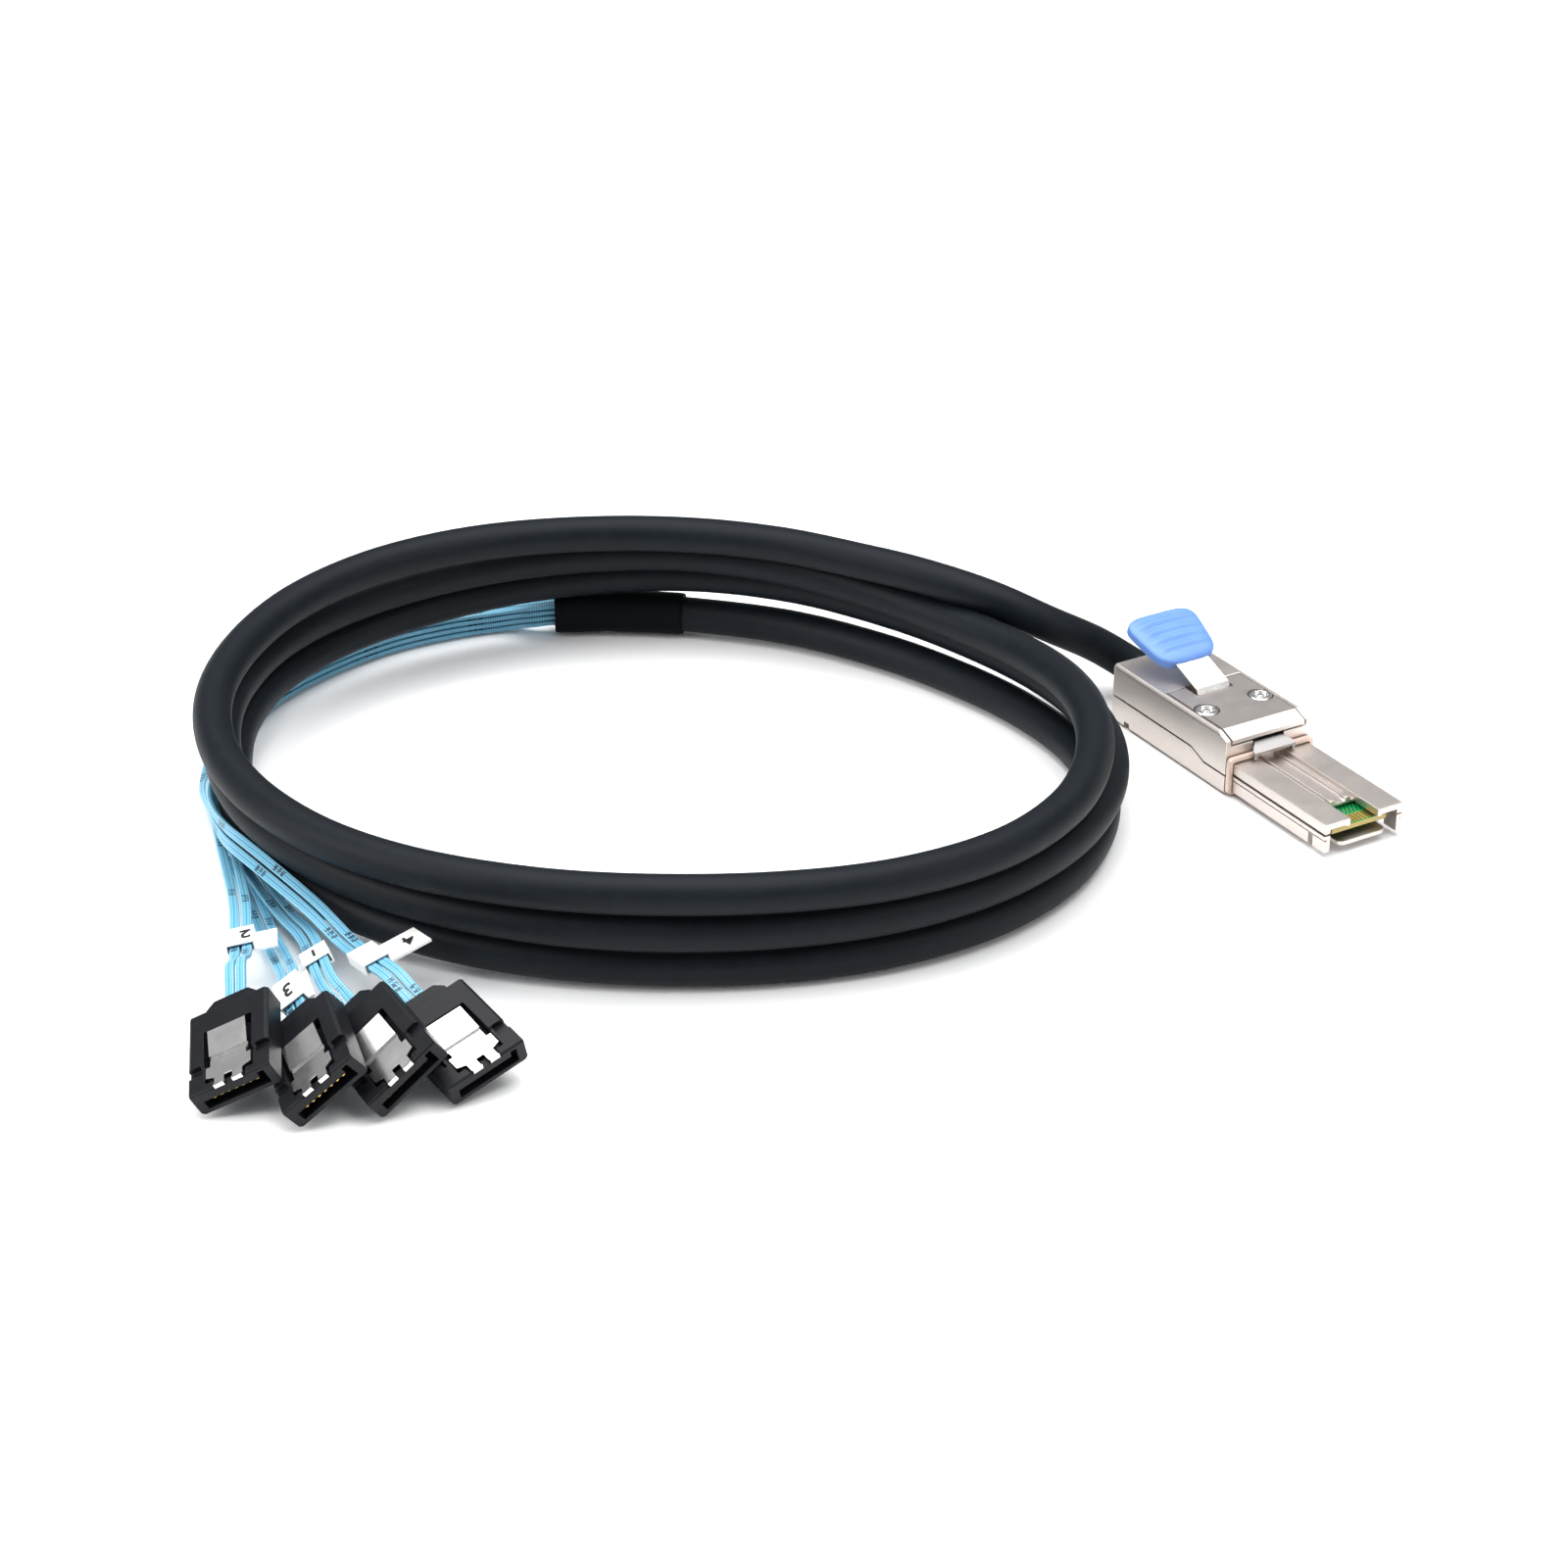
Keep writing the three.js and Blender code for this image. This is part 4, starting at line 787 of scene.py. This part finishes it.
# %% Printed card
FINGER_PITCH = 0.8
FINGER_REAR = 23.9
CARD_FRONT = 26.9
CARD_UNDER = 3.4
CARD_TOP = 4.45
SKIN = 0.06
FINGER_HALF = 0.27
TRACE_HALF = 0.2
TRACE_SLOPE = 0.5
BEVELLED_FRONT = 0.25
FAR_LEFT = 40.0
mask = Finish("card_mask", linear("0c7a3c"), 0.3)
cx, cy, cz = local_place(mask)
level = (cz > CARD_TOP - SKIN) + (cz < CARD_UNDER + SKIN)
finger = ((cy + FAR_LEFT) % FINGER_PITCH - FINGER_PITCH / 2).size() < FINGER_HALF
at_front = (cx > FINGER_REAR) * (cx < CARD_FRONT - BEVELLED_FRONT) * level
gold_here = finger * at_front
along_trace = cy + TRACE_SLOPE * cx + FAR_LEFT
slant = (along_trace % FINGER_PITCH - FINGER_PITCH / 2).size() < TRACE_HALF
traces = slant * (cx < FINGER_REAR - 0.3) * level
green = mask.blend(traces, linear("128a48"), linear("07562a"))
edge_color = mask.blend(level, linear("b9a35a"), green)
bare = mask.blend(at_front, edge_color, linear("3f6a35"))
mask.color(mask.blend(gold_here, bare, linear("e0b75a")))
mask.put(mask.shader, {"Metallic": gold_here})
mask.roughness(0.26 + 0.08 * gold_here)
mask.bump(traces * 0.5 + gold_here, 0.04, 0.5)
rounded("paddle_card", "cable", "board", mask.material, plug_frame, 0.08)

# %% [markdown]
# The pull tab is soft blue plastic, moulded round the end of the strap. Seen from above
# it is a rounded shield, wider at the back. Its top carries four low ribs for the
# fingertip, bowed like ripples. The tab is worked out as rings across its width, from the
# strap end to the back: each ring is a superellipse, its half width and half thickness
# fall to nothing at both ends as the fourth root of one minus the fourth power, and a
# raised sine on the upper half makes the ribs.

# %% Pull tab
TAB_LENGTH = 13.4
TAB_REAR = 16.4
TAB_FRONT = 12.6
TAB_THICK = 2.8
TAB_PLACE = (-23.9, 0.0, 14.6)
TAB_SLOPE = math.atan2(14.6 - 12.3, 23.9 - 17.6)
TAB_RINGS, TAB_SIDES = 120, 96
TAB_RIBS = 4
RIB_RISE = 0.34
RIB_MARGIN = 2.2
RIB_BOW = 0.014
RIB_SHIFT = 0.5


def pull_tab():
    """Rings of [along, across, up] turned up by the slope about the strap's end."""
    along = TAB_LENGTH * (1 - np.cos(np.linspace(0, np.pi, TAB_RINGS))) / 2
    share = 2 * along / TAB_LENGTH - 1
    closing = np.clip(1 - np.abs(share) ** 5, 0, 1) ** (1 / 3)
    blunt = np.clip(1 - np.abs(share) ** 10, 0, 1) ** 0.5
    half = (TAB_FRONT + (TAB_REAR - TAB_FRONT) * along / TAB_LENGTH) / 2 * closing
    rise = TAB_THICK / 2 * blunt
    ring = circle(TAB_SIDES)
    shape = np.sign(ring) * np.abs(ring) ** 0.42
    across = half[:, None] * shape[None, :, 0]
    bowed = along[:, None] + RIB_BOW * across ** 2 - RIB_SHIFT
    run = TAB_LENGTH - 2 * RIB_MARGIN
    phase = np.clip((bowed - RIB_MARGIN) / run, 0, 1)
    ribs = RIB_RISE * np.sin(np.pi * TAB_RIBS * phase) ** 2
    near_edge = np.clip(1 - (across / (half[:, None] * 0.93 + 1e-6)) ** 6, 0, 1)
    up = rise[:, None] * shape[None, :, 1]
    up = up + np.where(shape[None, :, 1] > 0, ribs * near_edge * (shape[None, :, 1] ** 2), 0)
    back = np.broadcast_to(along[:, None], up.shape)
    x = TAB_PLACE[0] - back * math.cos(TAB_SLOPE) + up * math.sin(TAB_SLOPE)
    z = TAB_PLACE[2] + back * math.sin(TAB_SLOPE) + up * math.cos(TAB_SLOPE)
    grid = np.stack([x, -across, z], -1)
    world_grid = plug_frame.place + grid @ plug_frame.axes
    return ring_surface("moulded_tab", world_grid[1:-1] * MM, along[1:-1])


soft_blue = Finish("tab_plastic", linear("6c98dd"), 0.42, **{"Subsurface Weight": 0.12,
                                                            "Subsurface Scale": 0.001})
milky = soft_blue.noise(0.22, 2.0)
pores = soft_blue.noise(6.0, 3.0)
soft_blue.color(soft_blue.blend(milky, linear("5c85d0"), linear("6f9adf")))
soft_blue.roughness(0.36 + 0.14 * pores)
soft_blue.bump(pores, 0.012, 0.5)
tab_piece = pull_tab()
finish_piece(tab_piece, "pull", soft_blue.material, "blue_plastic", "pull_tab")

# %% [markdown]
# The four small connectors are moulded in black glass-filled nylon. It is satin, a touch
# glossier on its worn corners, with the faint flow marks of the moulding. A steel spring
# latch lies in a pocket on top, and seven gold contacts stand in the open slot. The
# ribbons are held by a black clamp behind.

# %% Small connectors
nylon = Finish("connector_nylon", linear("101116"), 0.4, **{"Specular IOR Level": 0.22})
flow = nylon.noise(0.5, 3.0, 0.5)
fibre = nylon.noise(7.0, 3.0)
nylon.color(nylon.blend(flow, linear("0c0d11"), linear("16171c")))
nylon.roughness(0.3 + 0.14 * flow + 0.1 * fibre)
nylon.bump(fibre, 0.015, 0.5)

gold = Finish("contact_gold", linear("d9b057"), 0.22, 1.0)
gold_cloud = gold.noise(2.0, 2.0)
gold.color(gold.blend(gold_cloud, linear("c99c40"), linear("e8c670")))
gold.roughness(0.16 + 0.14 * gold_cloud)

for key, own in end_frames.items():
    housing = rounded(f"housing_{key}", "cable", "black_plastic", nylon.material, own, 0.14)
    grip = rounded(f"ribbon_clamp_{key}", "cable", "black_plastic", nylon.material, own, 0.25, 3)
    comb = rounded(f"contacts_{key}", "cable", "contact_gold", gold.material, own, 0.04)
    rounded(f"latch_{key}", f"latch_{key}", "bright_steel", sprung, own, 0.06)

# %% [markdown]
# A paper label is folded round each pair of ribbons, and its ends are stuck together as a
# flag. It carries one plain number, printed in black and read from the flag's side. The
# figures are type outlines turned to thin mesh, lying a hair above the paper.

# %% Labels
paper_white = Finish("label_paper", linear("f1f0ed"), 0.7)
pulp = paper_white.noise(3.0, 4.0)
paper_white.color(paper_white.blend(pulp, linear("e9e7e3"), linear("f8f7f5")))
paper_white.roughness(0.62 + 0.16 * pulp)
paper_white.bump(pulp, 0.02, 0.5)
ink = Finish("label_ink", linear("17181a"), 0.5)
ink_cloud = ink.noise(4.0, 3.0)
ink.color(ink.blend(ink_cloud, linear("101113"), linear("2b2c2e")))

HOLE_HALF = (2 * RIBBON_WIDE + RIBBON_GAP) / 2 + CLEAR
WRAP_RISE = RIBBON_THICK / 2 + CLEAR + 0.25
FLAG_THICK = 0.5
FIGURE_SIZE = 4.2
FIGURE_OVER = 0.12
FIGURE_DEPTH = 0.08
STROKE = 0.025
# Each label's place in its route, the side of its flag, its number, and how far out the
# number stands from the middle or, on a flag, from the wrap.
label_spots = {"a": (5, 1, "2", 1.0), "b": (6, 1, "3", 0.0), "c": (6, -1, "1", 0.0),
               "d": (8, 1, "4", 5.2)}


def label_frame(key):
    """Forward from one route point to the next, at the middle between the two."""
    points, uppers, first_fan = routes[key]
    station = first_fan + label_spots[key][0]
    forward = unit(points[station + 1] - points[station])
    upper = (uppers[station] + uppers[station + 1]) / 2
    side = unit(np.cross(upper, forward))
    middle = (points[station] + points[station + 1]) / 2
    return Frame(middle, forward, side, np.cross(forward, side))


def figure(key, sign, offset, height):
    """A number as a flat mesh: its top points forward and it reads against the side."""
    own = label_frame(key)
    curve = bpy.data.curves.new(f"figure_{key}", "FONT")
    curve.body = sign
    curve.size = FIGURE_SIZE
    curve.extrude = FIGURE_DEPTH
    curve.offset = STROKE
    curve.align_x = "CENTER"
    curve.align_y = "CENTER"
    stand_in = bpy.data.objects.new(curve.name, curve)
    mesh = bpy.data.meshes.new_from_object(stand_in)
    bpy.data.objects.remove(stand_in)
    flat = np.empty(len(mesh.vertices) * 3)
    mesh.vertices.foreach_get("co", flat)
    flat = flat.reshape(-1, 3)
    local = np.stack([flat[:, 1], offset - flat[:, 0], height + FIGURE_OVER + flat[:, 2]], -1)
    mesh.vertices.foreach_set("co", (own.point(local) * MM).ravel())
    piece = bpy.data.objects.new(f"figure_{key}", mesh)
    scene.collection.objects.link(piece)
    return finish_piece(piece, "cable", ink.material, "label_paper")


for key, (_, side, sign, reach) in label_spots.items():
    own = label_frame(key)
    rounded(f"label_{key}", "cable", "label_paper", paper_white.material, own, 0.06)
    if reach > HOLE_HALF:
        figure(key, sign, HOLE_HALF + reach, FLAG_THICK - WRAP_RISE)
    else:
        figure(key, sign, side * reach, WRAP_RISE)

# %% [markdown]
# The cable leaves the plug and ends in the sleeve; each ribbon leaves the sleeve and ends in a
# connector. Below, each ribbon's first point and whole route are worked out in metres, and
# nothing more is done with them.

# %% Ribbon routes in metres
for (key, word), ribbon in ribbon_pieces.items():
    line, _ = ribbon_lines[key, word]
    tuple(line[0] * MM)
    line * MM

# %% Stage
FLOOR_HALF = 3.0
FLOOR_DROP = 0.0002
corners = np.array([[-1, -1], [1, -1], [1, 1], [-1, 1]]) * FLOOR_HALF
floor = piece_from("floor", np.insert(corners, 2, -FLOOR_DROP, axis=1), [[0, 1, 2, 3]])
paper = Finish("floor_paper", (0.96, 0.96, 0.96), 0.9)
floor.data.materials.append(paper.material)
